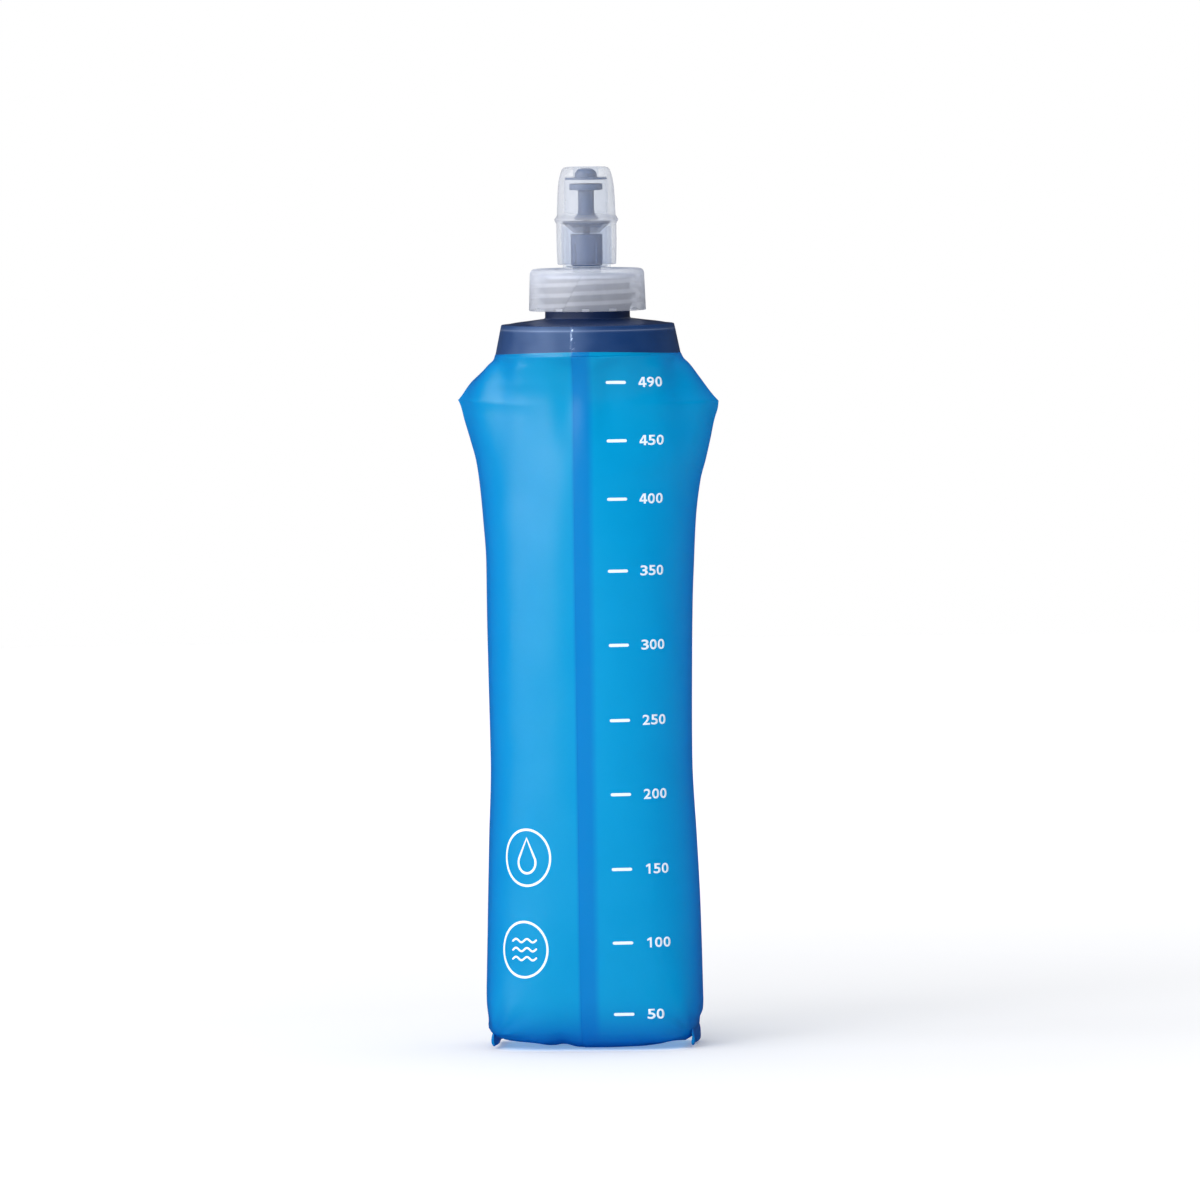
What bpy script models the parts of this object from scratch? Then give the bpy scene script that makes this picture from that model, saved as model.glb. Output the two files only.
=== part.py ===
"""Folding water bottle: a soft film body on a moulded screw neck, with a push-pull drinking cap.

Units are metres. +Z is up, the bottle stands on Z = 0 and the neck's axis is the Z axis.
X runs across the bottle's wide front, and the front faces -Y.
"""

import math

import bmesh
import bpy

GAP = 0.0003  # left between pieces that touch
EDGE = 0.0003  # bevel on a moulded edge
WELD = 0.00001
CUT_PAST = 0.001  # how far a cutter runs past the faces it opens
TURN_STEPS = 40  # facets round a large turned piece
SMALL_TURN_STEPS = 28  # facets round a small turned piece

# Film body
FILM_THICKNESS = 0.0005
FILM_POINTS = 36  # points round each section
COLLAR_BOTTOM_Z = 0.2010
FILM_TOP_Z = 0.2095
FILM_TOP_RADIUS = 0.02495
FILM_COLLAR_RADIUS = 0.0268

# Each section of the film: height, half width, half depth, squareness (2 is an ellipse, more is
# boxier) and crease (0 is a smooth oval, 1 is two arcs that meet in a crease left and right).
FILM_SECTIONS = (
    (0.0000, 0.0150, 0.0085, 2.6, 0.0),
    (0.0007, 0.0225, 0.0145, 3.0, 0.0),
    (0.0023, 0.0278, 0.0192, 3.6, 0.0),
    (0.0046, 0.0303, 0.0216, 4.0, 0.0),
    (0.0085, 0.0308, 0.0229, 3.6, 0.0),
    (0.0180, 0.0312, 0.0239, 3.0, 0.0),
    (0.0360, 0.0310, 0.0245, 2.6, 0.0),
    (0.0600, 0.0303, 0.0248, 2.4, 0.0),
    (0.0900, 0.0295, 0.0248, 2.4, 0.0),
    (0.1180, 0.0298, 0.0248, 2.3, 0.0),
    (0.1400, 0.0303, 0.0247, 2.2, 0.1),
    (0.1560, 0.0312, 0.0243, 2.1, 0.25),
    (0.1680, 0.0329, 0.0236, 2.0, 0.5),
    (0.1780, 0.0352, 0.0228, 2.0, 0.8),
    (0.1868, 0.03785, 0.0223, 2.0, 1.0),
    (0.1920, 0.0343, 0.0229, 2.0, 0.8),
    (0.1960, 0.0309, 0.0242, 2.0, 0.4),
    (0.1990, 0.0282, 0.0257, 2.0, 0.1),
    (COLLAR_BOTTOM_Z, FILM_COLLAR_RADIUS, FILM_COLLAR_RADIUS, 2.0, 0.0),
    (FILM_TOP_Z, FILM_TOP_RADIUS, FILM_TOP_RADIUS, 2.0, 0.0),
)

# Welded fins at the left and right corners of the base
FIN_X = 0.0296
FIN_THICKNESS = 0.0010
FIN_HALF_LENGTH = 0.0190
FIN_END_HEIGHT = 0.0034
FIN_ROOT_HALF_LENGTH = 0.0140
FIN_ROOT_HEIGHT = 0.0056

# Neck collar
SKIRT_BOTTOM_Z = 0.2012
SKIRT_BOTTOM_RADIUS = FILM_COLLAR_RADIUS - FILM_THICKNESS - GAP
SKIRT_TOP_Z = 0.2089
SKIRT_TOP_RADIUS = 0.0241
SKIRT_WALL = 0.0015
PLATE_RISE_RADIUS = 0.0167
PLATE_RISE_Z = 0.2105
PLATE_TOP_Z = 0.2111
PLATE_THICKNESS = 0.0019
PLATE_SHOULDER_RADIUS = 0.0211
PLATE_SHOULDER_Z = 0.2100
PLATE_EDGE_RADIUS = 0.0235
PLATE_EDGE_Z = 0.2096
SKIRT_CEILING_Z = 0.2079
NECK_RADIUS = 0.0123
NECK_FILLET = 0.0006
NECK_BORE_RADIUS = 0.01085
NECK_TOP_Z = 0.2225

# Screw thread, right-handed
PITCH = 0.0030
THREAD_CREST_RADIUS = 0.0138
THREAD_ROOT_HALF_WIDTH = 0.00075
THREAD_CREST_HALF_WIDTH = 0.0003
THREAD_START_Z = 0.2150
NECK_THREAD_TURNS = 2.0
CAP_THREAD_TURNS = 2.25
CAP_THREAD_CREST_RADIUS = 0.01275

# Screw cap with its spout tube
CAP_BOTTOM_Z = 0.2134
CAP_TOP_Z = 0.2255
CAP_TOP_RADIUS = 0.0165
CAP_BOTTOM_RADIUS = 0.01695
CAP_EDGE_ROUND = 0.0014
CAP_EDGE_MID = 0.0004  # how far the middle of the rounded edge stands in
CAP_BORE_RADIUS = 0.0142
CAP_BORE_LEAD = 0.0004
CAP_CEILING_Z = 0.2239
TUBE_RADIUS = 0.0070
TUBE_BORE_RADIUS = 0.0060
TUBE_TOP_Z = 0.2376
TUBE_EDGE = 0.0002
LEDGE_RADIUS = 0.0040
LEDGE_Z = 0.2260

# Gasket
GASKET_OUTER_RADIUS = 0.0139
GASKET_INNER_RADIUS = 0.0109
GASKET_BOTTOM_Z = NECK_TOP_Z + GAP
GASKET_TOP_Z = CAP_CEILING_Z - GAP

# Valve base, a barrel inside the spout tube
BARREL_RADIUS = 0.0046
BARREL_BORE_RADIUS = 0.0034
BARREL_BOTTOM_Z = LEDGE_Z + GAP
BARREL_TOP_Z = 0.2355
BARREL_FOOT_BEVEL = 0.0008
WEB_BOTTOM_Z = 0.2336
PIN_HOLE_RADIUS = 0.0013
FLOW_HOLE_COUNT = 3
FLOW_HOLE_RADIUS = 0.0007
FLOW_HOLE_ORBIT = 0.00235
BARREL_FIN_COUNT = 4
BARREL_FIN_REACH = TUBE_BORE_RADIUS - GAP
BARREL_FIN_THICKNESS = 0.0008
BARREL_FIN_BOTTOM_Z = 0.2270
BARREL_FIN_TOP_Z = 0.2330

# Valve pin
HEAD_RADIUS = 0.0048
HEAD_TOP_Z = 0.2501
HEAD_BOTTOM_Z = 0.2482
STEM_RADIUS = 0.0023
FOOT_RADIUS = 0.0035
FOOT_TOP_Z = 0.2402
FOOT_BOTTOM_Z = 0.2396
FOOT_NECK_RADIUS = 0.0026
FOOT_NECK_Z = 0.2412
FOOT_FLARE_Z = 0.2422
SHANK_RADIUS = 0.0010
BARB_RADIUS = 0.0019
BARB_TOP_Z = WEB_BOTTOM_Z - GAP
BARB_BOTTOM_Z = 0.2325

# Lip seal, a thin funnel on top of the tube
LIP_RADIUS = 0.0069
LIP_TOP_Z = 0.2392
LIP_THROAT_RADIUS = 0.0030
LIP_FOOT_RADIUS = 0.0039
LIP_BOTTOM_Z = BARREL_TOP_Z + GAP
LIP_EDGE = 0.0005
LIP_WALL = 0.0007

# Mouthpiece sleeve
SLEEVE_BOTTOM_Z = 0.2267
SLEEVE_TOP_Z = 0.2550
SLEEVE_TOP_RADIUS = 0.0056
# The domed nose above the bead, as radius and height
SLEEVE_NOSE = (
    (0.0066, 0.2545),
    (0.0072, 0.2535),
    (0.0080, 0.2508),
    (0.0083, 0.2465),
    (0.0085, 0.2409),
)
SLEEVE_LOWER_RADIUS = 0.0087
SLEEVE_TAPER_Z = 0.2317
SLEEVE_FOOT_RADIUS = 0.0085
SLEEVE_FOOT_Z = 0.2271
SLEEVE_FOOT_BEVEL = 0.0002
SLEEVE_BORE_LEAD_Z = 0.2272
SLEEVE_BORE_RADIUS = TUBE_RADIUS + GAP
SHOULDER_Z = 0.2406
SHOULDER_RISE = 0.0006
SLEEVE_UPPER_BORE_RADIUS = 0.00635
SLEEVE_CEILING_Z = 0.2521
DRINK_HOLE_RADIUS = 0.0037
BEAD_RADIUS = 0.0093
BEAD_Z = 0.2397
BEAD_BOTTOM_Z = 0.2385

# Seal in the top of the mouthpiece
SEAL_FLANGE_RADIUS = 0.00605
SEAL_FLANGE_BOTTOM_Z = 0.25125
SEAL_FLANGE_TOP_Z = SLEEVE_CEILING_Z - GAP
# The dome on the flange, as radius and height
SEAL_DOME = (
    (0.00231, 0.2542),
    (0.00314, 0.2533),
    (0.0033, SEAL_FLANGE_TOP_Z),
)
SEAL_DOME_TOP_Z = 0.2545
SEAL_HOLE_RADIUS = 0.0010
SEAL_HOLE_LEAD = 0.0012

FILM_BLUE = (0.010, 0.330, 0.780, 1.0)
NAVY = (0.010, 0.040, 0.150, 1.0)
FROSTED = (0.780, 0.800, 0.860, 1.0)
SLATE = (0.170, 0.230, 0.370, 1.0)
SEAL_WHITE = (0.720, 0.740, 0.780, 1.0)


def clear_scene():
    for obj in list(bpy.data.objects):
        bpy.data.objects.remove(obj, do_unlink=True)


def new_collection(name):
    collection = bpy.data.collections.new(name)
    bpy.context.scene.collection.children.link(collection)
    return collection


def new_material(name, colour, roughness, metallic=0.0):
    material = bpy.data.materials.new(name)
    material.use_nodes = True
    shader = material.node_tree.nodes["Principled BSDF"]
    shader.inputs["Base Color"].default_value = colour
    shader.inputs["Roughness"].default_value = roughness
    shader.inputs["Metallic"].default_value = metallic
    material.diffuse_color = colour
    return material


def new_object(name, mesh, collection, material=None):
    obj = bpy.data.objects.new(name, mesh)
    collection.objects.link(obj)
    if material:
        mesh.materials.append(material)
    return obj


def as_cutter(obj):
    obj.hide_render = True
    obj.display_type = "WIRE"
    return obj


def join_solid(obj, other, operation):
    """Adds an exact Boolean of obj with other."""
    modifier = obj.modifiers.new(f"{operation.lower()}_{other.name}", "BOOLEAN")
    modifier.operation = operation
    modifier.solver = "EXACT"
    modifier.object = other


def turned(name, profile, steps, collection, material=None):
    """A solid of revolution. The profile is a list of (radius, height) that runs down the outer
    side. It is a closed loop, unless both of its ends are on the axis."""
    mesh = bpy.data.meshes.new(name)
    on_axis = profile[0][0] == 0 and profile[-1][0] == 0
    count = len(profile)
    edges = [(i, i + 1) for i in range(count - 1)]
    if not on_axis:
        edges.append((count - 1, 0))
    mesh.from_pydata([(radius, 0.0, height) for radius, height in profile], edges, [])
    obj = new_object(name, mesh, collection, material)
    screw = obj.modifiers.new("turn", "SCREW")
    screw.axis = "Z"
    screw.angle = 2 * math.pi
    screw.steps = steps
    screw.render_steps = steps
    screw.use_merge_vertices = on_axis
    screw.merge_threshold = WELD
    screw.use_smooth_shade = True
    return obj


def baked(obj):
    """Replaces an object's mesh by its evaluated mesh, with no modifiers left."""
    graph = bpy.context.evaluated_depsgraph_get()
    mesh = bpy.data.meshes.new_from_object(obj.evaluated_get(graph), depsgraph=graph)
    obj.modifiers.clear()
    obj.data = mesh
    return obj


def thread_ridge(name, root_radius, crest_radius, start_z, start_angle, turns, collection):
    """A helical ridge with closed ends. It points outwards or inwards, from root to crest."""
    quarter_turns = round(turns * 4)
    corners = [
        (root_radius, THREAD_ROOT_HALF_WIDTH),
        (crest_radius, THREAD_CREST_HALF_WIDTH),
        (crest_radius, -THREAD_CREST_HALF_WIDTH),
        (root_radius, -THREAD_ROOT_HALF_WIDTH),
    ]
    mesh = bpy.data.meshes.new(name)
    mesh.from_pydata(
        [(radius, 0.0, height) for radius, height in corners],
        [(0, 1), (1, 2), (2, 3), (3, 0)],
        [],
    )
    obj = new_object(name, mesh, collection)
    screw = obj.modifiers.new("helix", "SCREW")
    screw.axis = "Z"
    screw.angle = math.pi / 2
    screw.screw_offset = PITCH / 4
    screw.iterations = quarter_turns
    screw.steps = TURN_STEPS // 4
    screw.render_steps = TURN_STEPS // 4
    baked(obj)
    bm = bmesh.new()
    bm.from_mesh(obj.data)
    bmesh.ops.remove_doubles(bm, verts=bm.verts, dist=WELD)
    open_edges = [edge for edge in bm.edges if edge.is_boundary]
    bmesh.ops.holes_fill(bm, edges=open_edges, sides=4)
    bmesh.ops.recalc_face_normals(bm, faces=bm.faces)
    bm.to_mesh(obj.data)
    bm.free()
    obj.location.z = start_z
    obj.rotation_euler.z = start_angle
    return as_cutter(obj)


def cylinder(name, radius, low_z, high_z, collection, x=0.0, y=0.0, sides=16):
    bm = bmesh.new()
    bmesh.ops.create_cone(
        bm, cap_ends=True, segments=sides, radius1=radius, radius2=radius, depth=high_z - low_z
    )
    mesh = bpy.data.meshes.new(name)
    bm.to_mesh(mesh)
    bm.free()
    obj = new_object(name, mesh, collection)
    obj.location = (x, y, (low_z + high_z) / 2)
    return as_cutter(obj)


def section_point(angle, half_width, half_depth, squareness, crease):
    """One point of a film section: an oval, blended with two arcs that meet at the sides."""
    cosine, sine = math.cos(angle), math.sin(angle)
    power = 2 / squareness
    oval_x = math.copysign(abs(cosine) ** power, cosine) * half_width
    oval_y = math.copysign(abs(sine) ** power, sine) * half_depth
    arc_radius = (half_width**2 + half_depth**2) / (2 * half_depth)
    arc_x = half_width * cosine
    arc_y = math.sqrt(max(arc_radius**2 - arc_x**2, 0.0)) - (arc_radius - half_depth)
    arc_y = math.copysign(max(arc_y, 0.0), sine) if abs(sine) > WELD else 0.0
    x = oval_x + (arc_x - oval_x) * crease
    y = oval_y + (arc_y - oval_y) * crease
    return x, y


def body_film(collection, cutters, material):
    """The welded film tube: a loft from the flat of its base up to its rim round the collar."""
    bm = bmesh.new()
    rings = []
    for height, half_width, half_depth, squareness, crease in FILM_SECTIONS:
        ring = []
        for step in range(FILM_POINTS):
            angle = 2 * math.pi * step / FILM_POINTS
            x, y = section_point(angle, half_width, half_depth, squareness, crease)
            ring.append(bm.verts.new((x, y, height)))
        rings.append(ring)
    bm.faces.new(list(reversed(rings[0])))
    for low, high in zip(rings, rings[1:]):
        for i in range(FILM_POINTS):
            j = (i + 1) % FILM_POINTS
            bm.faces.new((low[i], low[j], high[j], high[i]))
    mesh = bpy.data.meshes.new("body_film")
    bm.to_mesh(mesh)
    bm.free()
    mesh.shade_smooth()
    obj = new_object("body_film", mesh, collection, material)
    wall = obj.modifiers.new("film", "SOLIDIFY")
    wall.thickness = FILM_THICKNESS
    wall.offset = -1.0
    wall.use_even_offset = True
    for side, where in ((-1, "left"), (1, "right")):
        join_solid(obj, base_fin(f"fin_{where}", side, cutters), "UNION")
    return obj


def base_fin(name, side, collection):
    """The flat weld that hangs at one side of the base, as a plate across X."""
    outline = (
        (-FIN_HALF_LENGTH, 0.0),
        (FIN_HALF_LENGTH, 0.0),
        (FIN_HALF_LENGTH, FIN_END_HEIGHT),
        (FIN_ROOT_HALF_LENGTH, FIN_ROOT_HEIGHT),
        (-FIN_ROOT_HALF_LENGTH, FIN_ROOT_HEIGHT),
        (-FIN_HALF_LENGTH, FIN_END_HEIGHT),
    )
    curve = bpy.data.curves.new(name, "CURVE")
    curve.dimensions = "2D"
    curve.fill_mode = "BOTH"
    curve.extrude = FIN_THICKNESS / 2
    spline = curve.splines.new("POLY")
    spline.points.add(len(outline) - 1)
    for point, (y, z) in zip(spline.points, outline):
        point.co = (y, z, 0.0, 1.0)
    spline.use_cyclic_u = True
    flat = bpy.data.objects.new(f"{name}_outline", curve)
    collection.objects.link(flat)
    flat.rotation_euler = (math.pi / 2, 0.0, math.pi / 2)
    flat.location.x = side * FIN_X
    bpy.context.view_layer.update()
    graph = bpy.context.evaluated_depsgraph_get()
    mesh = bpy.data.meshes.new_from_object(flat.evaluated_get(graph), depsgraph=graph)
    bm = bmesh.new()
    bm.from_mesh(mesh)
    bmesh.ops.remove_doubles(bm, verts=bm.verts, dist=WELD)
    bmesh.ops.recalc_face_normals(bm, faces=bm.faces)
    bm.to_mesh(mesh)
    bm.free()
    obj = new_object(name, mesh, collection)
    obj.matrix_world = flat.matrix_world.copy()
    bpy.data.objects.remove(flat, do_unlink=True)
    return as_cutter(obj)


def neck_collar(collection, cutters, material):
    """The moulded neck: a skirt that the film is welded round, a domed plate and a thread."""
    skirt_inner_bottom = SKIRT_BOTTOM_RADIUS - SKIRT_WALL
    skirt_inner_top = SKIRT_TOP_RADIUS - SKIRT_WALL
    profile = [
        (NECK_RADIUS - EDGE, NECK_TOP_Z),
        (NECK_RADIUS, NECK_TOP_Z - EDGE),
        (NECK_RADIUS, PLATE_TOP_Z + NECK_FILLET),
        (NECK_RADIUS + NECK_FILLET, PLATE_TOP_Z),
        (PLATE_RISE_RADIUS, PLATE_RISE_Z),
        (PLATE_SHOULDER_RADIUS, PLATE_SHOULDER_Z),
        (PLATE_EDGE_RADIUS, PLATE_EDGE_Z),
        (SKIRT_TOP_RADIUS, SKIRT_TOP_Z),
        (SKIRT_BOTTOM_RADIUS, SKIRT_BOTTOM_Z),
        (skirt_inner_bottom, SKIRT_BOTTOM_Z),
        (skirt_inner_top, SKIRT_CEILING_Z),
        (PLATE_RISE_RADIUS, PLATE_RISE_Z - PLATE_THICKNESS),
        (NECK_BORE_RADIUS, PLATE_TOP_Z - PLATE_THICKNESS),
        (NECK_BORE_RADIUS, NECK_TOP_Z),
    ]
    obj = turned("neck_collar", profile, TURN_STEPS, collection, material)
    ridge = thread_ridge(
        "neck_thread",
        NECK_RADIUS - GAP,
        THREAD_CREST_RADIUS,
        THREAD_START_Z,
        0.0,
        NECK_THREAD_TURNS,
        cutters,
    )
    join_solid(obj, ridge, "UNION")
    return obj


def screw_cap(collection, cutters, material):
    """The cap: a threaded skirt, a top plate and the tube that the mouthpiece slides on."""
    profile = [
        (TUBE_RADIUS - TUBE_EDGE, TUBE_TOP_Z),
        (TUBE_RADIUS, TUBE_TOP_Z - TUBE_EDGE),
        (TUBE_RADIUS, CAP_TOP_Z),
        (CAP_TOP_RADIUS - CAP_EDGE_ROUND, CAP_TOP_Z),
        (CAP_TOP_RADIUS - CAP_EDGE_MID, CAP_TOP_Z - CAP_EDGE_MID),
        (CAP_TOP_RADIUS, CAP_TOP_Z - CAP_EDGE_ROUND),
        (CAP_BOTTOM_RADIUS, CAP_BOTTOM_Z),
        (CAP_BORE_RADIUS + CAP_BORE_LEAD, CAP_BOTTOM_Z),
        (CAP_BORE_RADIUS, CAP_BOTTOM_Z + CAP_BORE_LEAD),
        (CAP_BORE_RADIUS, CAP_CEILING_Z),
        (LEDGE_RADIUS, CAP_CEILING_Z),
        (LEDGE_RADIUS, LEDGE_Z),
        (TUBE_BORE_RADIUS, LEDGE_Z),
        (TUBE_BORE_RADIUS, TUBE_TOP_Z),
    ]
    obj = turned("screw_cap", profile, TURN_STEPS, collection, material)
    # Half a turn back, the cap's ridge starts half a pitch off the neck's, in its groove.
    ridge = thread_ridge(
        "cap_thread",
        CAP_BORE_RADIUS + GAP,
        CAP_THREAD_CREST_RADIUS,
        THREAD_START_Z,
        math.pi,
        CAP_THREAD_TURNS,
        cutters,
    )
    join_solid(obj, ridge, "UNION")
    return obj


def cap_gasket(collection, material):
    profile = [
        (GASKET_OUTER_RADIUS, GASKET_TOP_Z),
        (GASKET_OUTER_RADIUS, GASKET_BOTTOM_Z),
        (GASKET_INNER_RADIUS, GASKET_BOTTOM_Z),
        (GASKET_INNER_RADIUS, GASKET_TOP_Z),
    ]
    return turned("cap_gasket", profile, TURN_STEPS, collection, material)


def valve_base(collection, cutters, material):
    """The barrel in the tube: open below, with a pierced web on top that holds the pin."""
    profile = [
        (BARREL_RADIUS, BARREL_TOP_Z),
        (BARREL_RADIUS, BARREL_BOTTOM_Z + BARREL_FOOT_BEVEL),
        (BARREL_RADIUS - BARREL_FOOT_BEVEL, BARREL_BOTTOM_Z),
        (BARREL_BORE_RADIUS, BARREL_BOTTOM_Z),
        (BARREL_BORE_RADIUS, WEB_BOTTOM_Z),
        (PIN_HOLE_RADIUS, WEB_BOTTOM_Z),
        (PIN_HOLE_RADIUS, BARREL_TOP_Z),
    ]
    obj = turned("valve_base", profile, SMALL_TURN_STEPS, collection, material)
    for index in range(FLOW_HOLE_COUNT):
        angle = 2 * math.pi * index / FLOW_HOLE_COUNT
        x, y = FLOW_HOLE_ORBIT * math.cos(angle), FLOW_HOLE_ORBIT * math.sin(angle)
        hole = cylinder(
            f"flow_hole_{index + 1}",
            FLOW_HOLE_RADIUS,
            WEB_BOTTOM_Z - CUT_PAST,
            BARREL_TOP_Z + CUT_PAST,
            cutters,
            x,
            y,
            sides=10,
        )
        join_solid(obj, hole, "DIFFERENCE")
    for index in range(BARREL_FIN_COUNT):
        join_solid(obj, barrel_fin(index, cutters), "UNION")
    return obj


def barrel_fin(index, collection):
    """A fin that centres the barrel in the tube."""
    inner = BARREL_RADIUS - GAP
    length = BARREL_FIN_REACH - inner
    height = BARREL_FIN_TOP_Z - BARREL_FIN_BOTTOM_Z
    bm = bmesh.new()
    bmesh.ops.create_cube(bm, size=1.0)
    bmesh.ops.scale(bm, vec=(length, BARREL_FIN_THICKNESS, height), verts=bm.verts)
    bmesh.ops.translate(bm, vec=(inner + length / 2, 0.0, 0.0), verts=bm.verts)
    mesh = bpy.data.meshes.new(f"barrel_fin_{index + 1}")
    bm.to_mesh(mesh)
    bm.free()
    obj = new_object(mesh.name, mesh, collection)
    obj.location.z = (BARREL_FIN_TOP_Z + BARREL_FIN_BOTTOM_Z) / 2
    obj.rotation_euler.z = math.pi / 4 + 2 * math.pi * index / BARREL_FIN_COUNT
    return as_cutter(obj)


def valve_pin(collection, material):
    """The pin: its head closes the mouthpiece, and its barb holds it under the barrel's web."""
    profile = [
        (0.0, HEAD_TOP_Z),
        (HEAD_RADIUS - EDGE, HEAD_TOP_Z),
        (HEAD_RADIUS, HEAD_TOP_Z - EDGE),
        (HEAD_RADIUS, HEAD_BOTTOM_Z + EDGE),
        (HEAD_RADIUS - EDGE, HEAD_BOTTOM_Z),
        (STEM_RADIUS, HEAD_BOTTOM_Z),
        (STEM_RADIUS, FOOT_FLARE_Z),
        (FOOT_NECK_RADIUS, FOOT_NECK_Z),
        (FOOT_RADIUS, FOOT_TOP_Z),
        (FOOT_RADIUS, FOOT_BOTTOM_Z),
        (SHANK_RADIUS, FOOT_BOTTOM_Z),
        (SHANK_RADIUS, BARB_TOP_Z),
        (BARB_RADIUS, BARB_TOP_Z),
        (SHANK_RADIUS, BARB_BOTTOM_Z),
        (0.0, BARB_BOTTOM_Z),
    ]
    return turned("valve_pin", profile, SMALL_TURN_STEPS, collection, material)


def lip_seal(collection, material):
    profile = [
        (LIP_RADIUS, LIP_TOP_Z),
        (LIP_RADIUS, LIP_TOP_Z - LIP_EDGE),
        (LIP_FOOT_RADIUS, LIP_BOTTOM_Z + GAP),
        (LIP_FOOT_RADIUS, LIP_BOTTOM_Z),
        (LIP_THROAT_RADIUS, LIP_BOTTOM_Z),
        (LIP_THROAT_RADIUS, LIP_BOTTOM_Z + LIP_WALL),
        (LIP_RADIUS - LIP_WALL, LIP_TOP_Z),
    ]
    return turned("lip_seal", profile, SMALL_TURN_STEPS, collection, material)


def mouthpiece(collection, material):
    """The push-pull sleeve, with a gripping bead round its middle and a drinking hole on top."""
    profile = [
        (SLEEVE_TOP_RADIUS, SLEEVE_TOP_Z),
        *SLEEVE_NOSE,
        (BEAD_RADIUS, BEAD_Z),
        (SLEEVE_LOWER_RADIUS, BEAD_BOTTOM_Z),
        (SLEEVE_LOWER_RADIUS, SLEEVE_TAPER_Z),
        (SLEEVE_FOOT_RADIUS, SLEEVE_FOOT_Z),
        (SLEEVE_FOOT_RADIUS - SLEEVE_FOOT_BEVEL, SLEEVE_BOTTOM_Z),
        (SLEEVE_BORE_RADIUS + SLEEVE_FOOT_BEVEL, SLEEVE_BOTTOM_Z),
        (SLEEVE_BORE_RADIUS, SLEEVE_BORE_LEAD_Z),
        (SLEEVE_BORE_RADIUS, SHOULDER_Z),
        (SLEEVE_UPPER_BORE_RADIUS, SHOULDER_Z + SHOULDER_RISE),
        (SLEEVE_UPPER_BORE_RADIUS, SLEEVE_CEILING_Z),
        (DRINK_HOLE_RADIUS, SLEEVE_CEILING_Z),
        (DRINK_HOLE_RADIUS, SLEEVE_TOP_Z),
    ]
    return turned("mouthpiece", profile, TURN_STEPS, collection, material)


def spout_seal(collection, material):
    """The seal under the drinking hole: a flange that meets the pin's head, and a pierced dome."""
    profile = [
        (SEAL_HOLE_RADIUS, SEAL_DOME_TOP_Z),
        *SEAL_DOME,
        (SEAL_FLANGE_RADIUS, SEAL_FLANGE_TOP_Z),
        (SEAL_FLANGE_RADIUS, SEAL_FLANGE_BOTTOM_Z),
        (SEAL_HOLE_RADIUS + SEAL_HOLE_LEAD, SEAL_FLANGE_BOTTOM_Z),
        (SEAL_HOLE_RADIUS, SEAL_FLANGE_BOTTOM_Z + SEAL_HOLE_LEAD),
    ]
    return turned("spout_seal", profile, SMALL_TURN_STEPS, collection, material)


def main():
    clear_scene()
    parts = new_collection("folding_water_bottle")
    cutters = new_collection("cutters")
    film = new_material("film_blue", FILM_BLUE, 0.35)
    navy = new_material("neck_navy", NAVY, 0.40)
    frosted = new_material("cap_frosted", FROSTED, 0.45)
    sleeve = new_material("mouthpiece_frosted", FROSTED, 0.35)
    slate = new_material("valve_slate", SLATE, 0.50)
    barrel = new_material("barrel_slate", SLATE, 0.45)
    gasket = new_material("gasket_white", SEAL_WHITE, 0.60)
    lip = new_material("lip_slate", SLATE, 0.60)
    seal = new_material("seal_slate", SLATE, 0.55)
    body_film(parts, cutters, film)
    neck_collar(parts, cutters, navy)
    cap_gasket(parts, gasket)
    screw_cap(parts, cutters, frosted)
    valve_base(parts, cutters, barrel)
    valve_pin(parts, slate)
    lip_seal(parts, lip)
    mouthpiece(parts, sleeve)
    spout_seal(parts, seal)


main()
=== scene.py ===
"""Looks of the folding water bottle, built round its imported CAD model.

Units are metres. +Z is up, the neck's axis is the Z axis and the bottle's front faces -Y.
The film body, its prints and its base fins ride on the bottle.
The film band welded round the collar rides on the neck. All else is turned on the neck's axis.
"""

import math

import bmesh
import bpy
import numpy as np
from mathutils import Matrix, Vector, noise


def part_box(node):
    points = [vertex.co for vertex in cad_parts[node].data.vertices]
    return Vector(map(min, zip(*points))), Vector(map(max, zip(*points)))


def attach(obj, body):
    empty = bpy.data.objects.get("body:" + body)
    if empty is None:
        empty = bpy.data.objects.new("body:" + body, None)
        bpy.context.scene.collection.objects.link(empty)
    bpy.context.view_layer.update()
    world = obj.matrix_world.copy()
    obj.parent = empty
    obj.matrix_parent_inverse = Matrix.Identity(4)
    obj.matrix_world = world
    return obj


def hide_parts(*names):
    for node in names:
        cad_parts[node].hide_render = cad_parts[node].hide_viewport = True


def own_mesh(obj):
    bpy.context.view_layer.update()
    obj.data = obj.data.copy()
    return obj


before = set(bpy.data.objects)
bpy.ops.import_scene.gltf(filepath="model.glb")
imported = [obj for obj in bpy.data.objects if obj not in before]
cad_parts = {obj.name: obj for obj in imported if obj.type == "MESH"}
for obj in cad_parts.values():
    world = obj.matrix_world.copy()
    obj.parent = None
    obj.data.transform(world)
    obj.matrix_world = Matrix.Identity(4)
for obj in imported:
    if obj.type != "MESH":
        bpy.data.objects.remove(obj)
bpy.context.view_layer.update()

MM = 0.001

# ---------------------------------------------------------------- sizes

FILM_WALL = 0.0004
SEAM_LEFT = -0.0025  # edges of the lap weld down the front, as distances from the middle
SEAM_RIGHT = 0.0025
SEAM_STEP = 0.00022  # height of the upper sheet's edge
COLLAR_LINE_Z = 0.2010
WING_TIP_Z = 0.1868
LEFT_WING_LIFT = 0.0010
OUTLINE_POINTS = 1440

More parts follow.
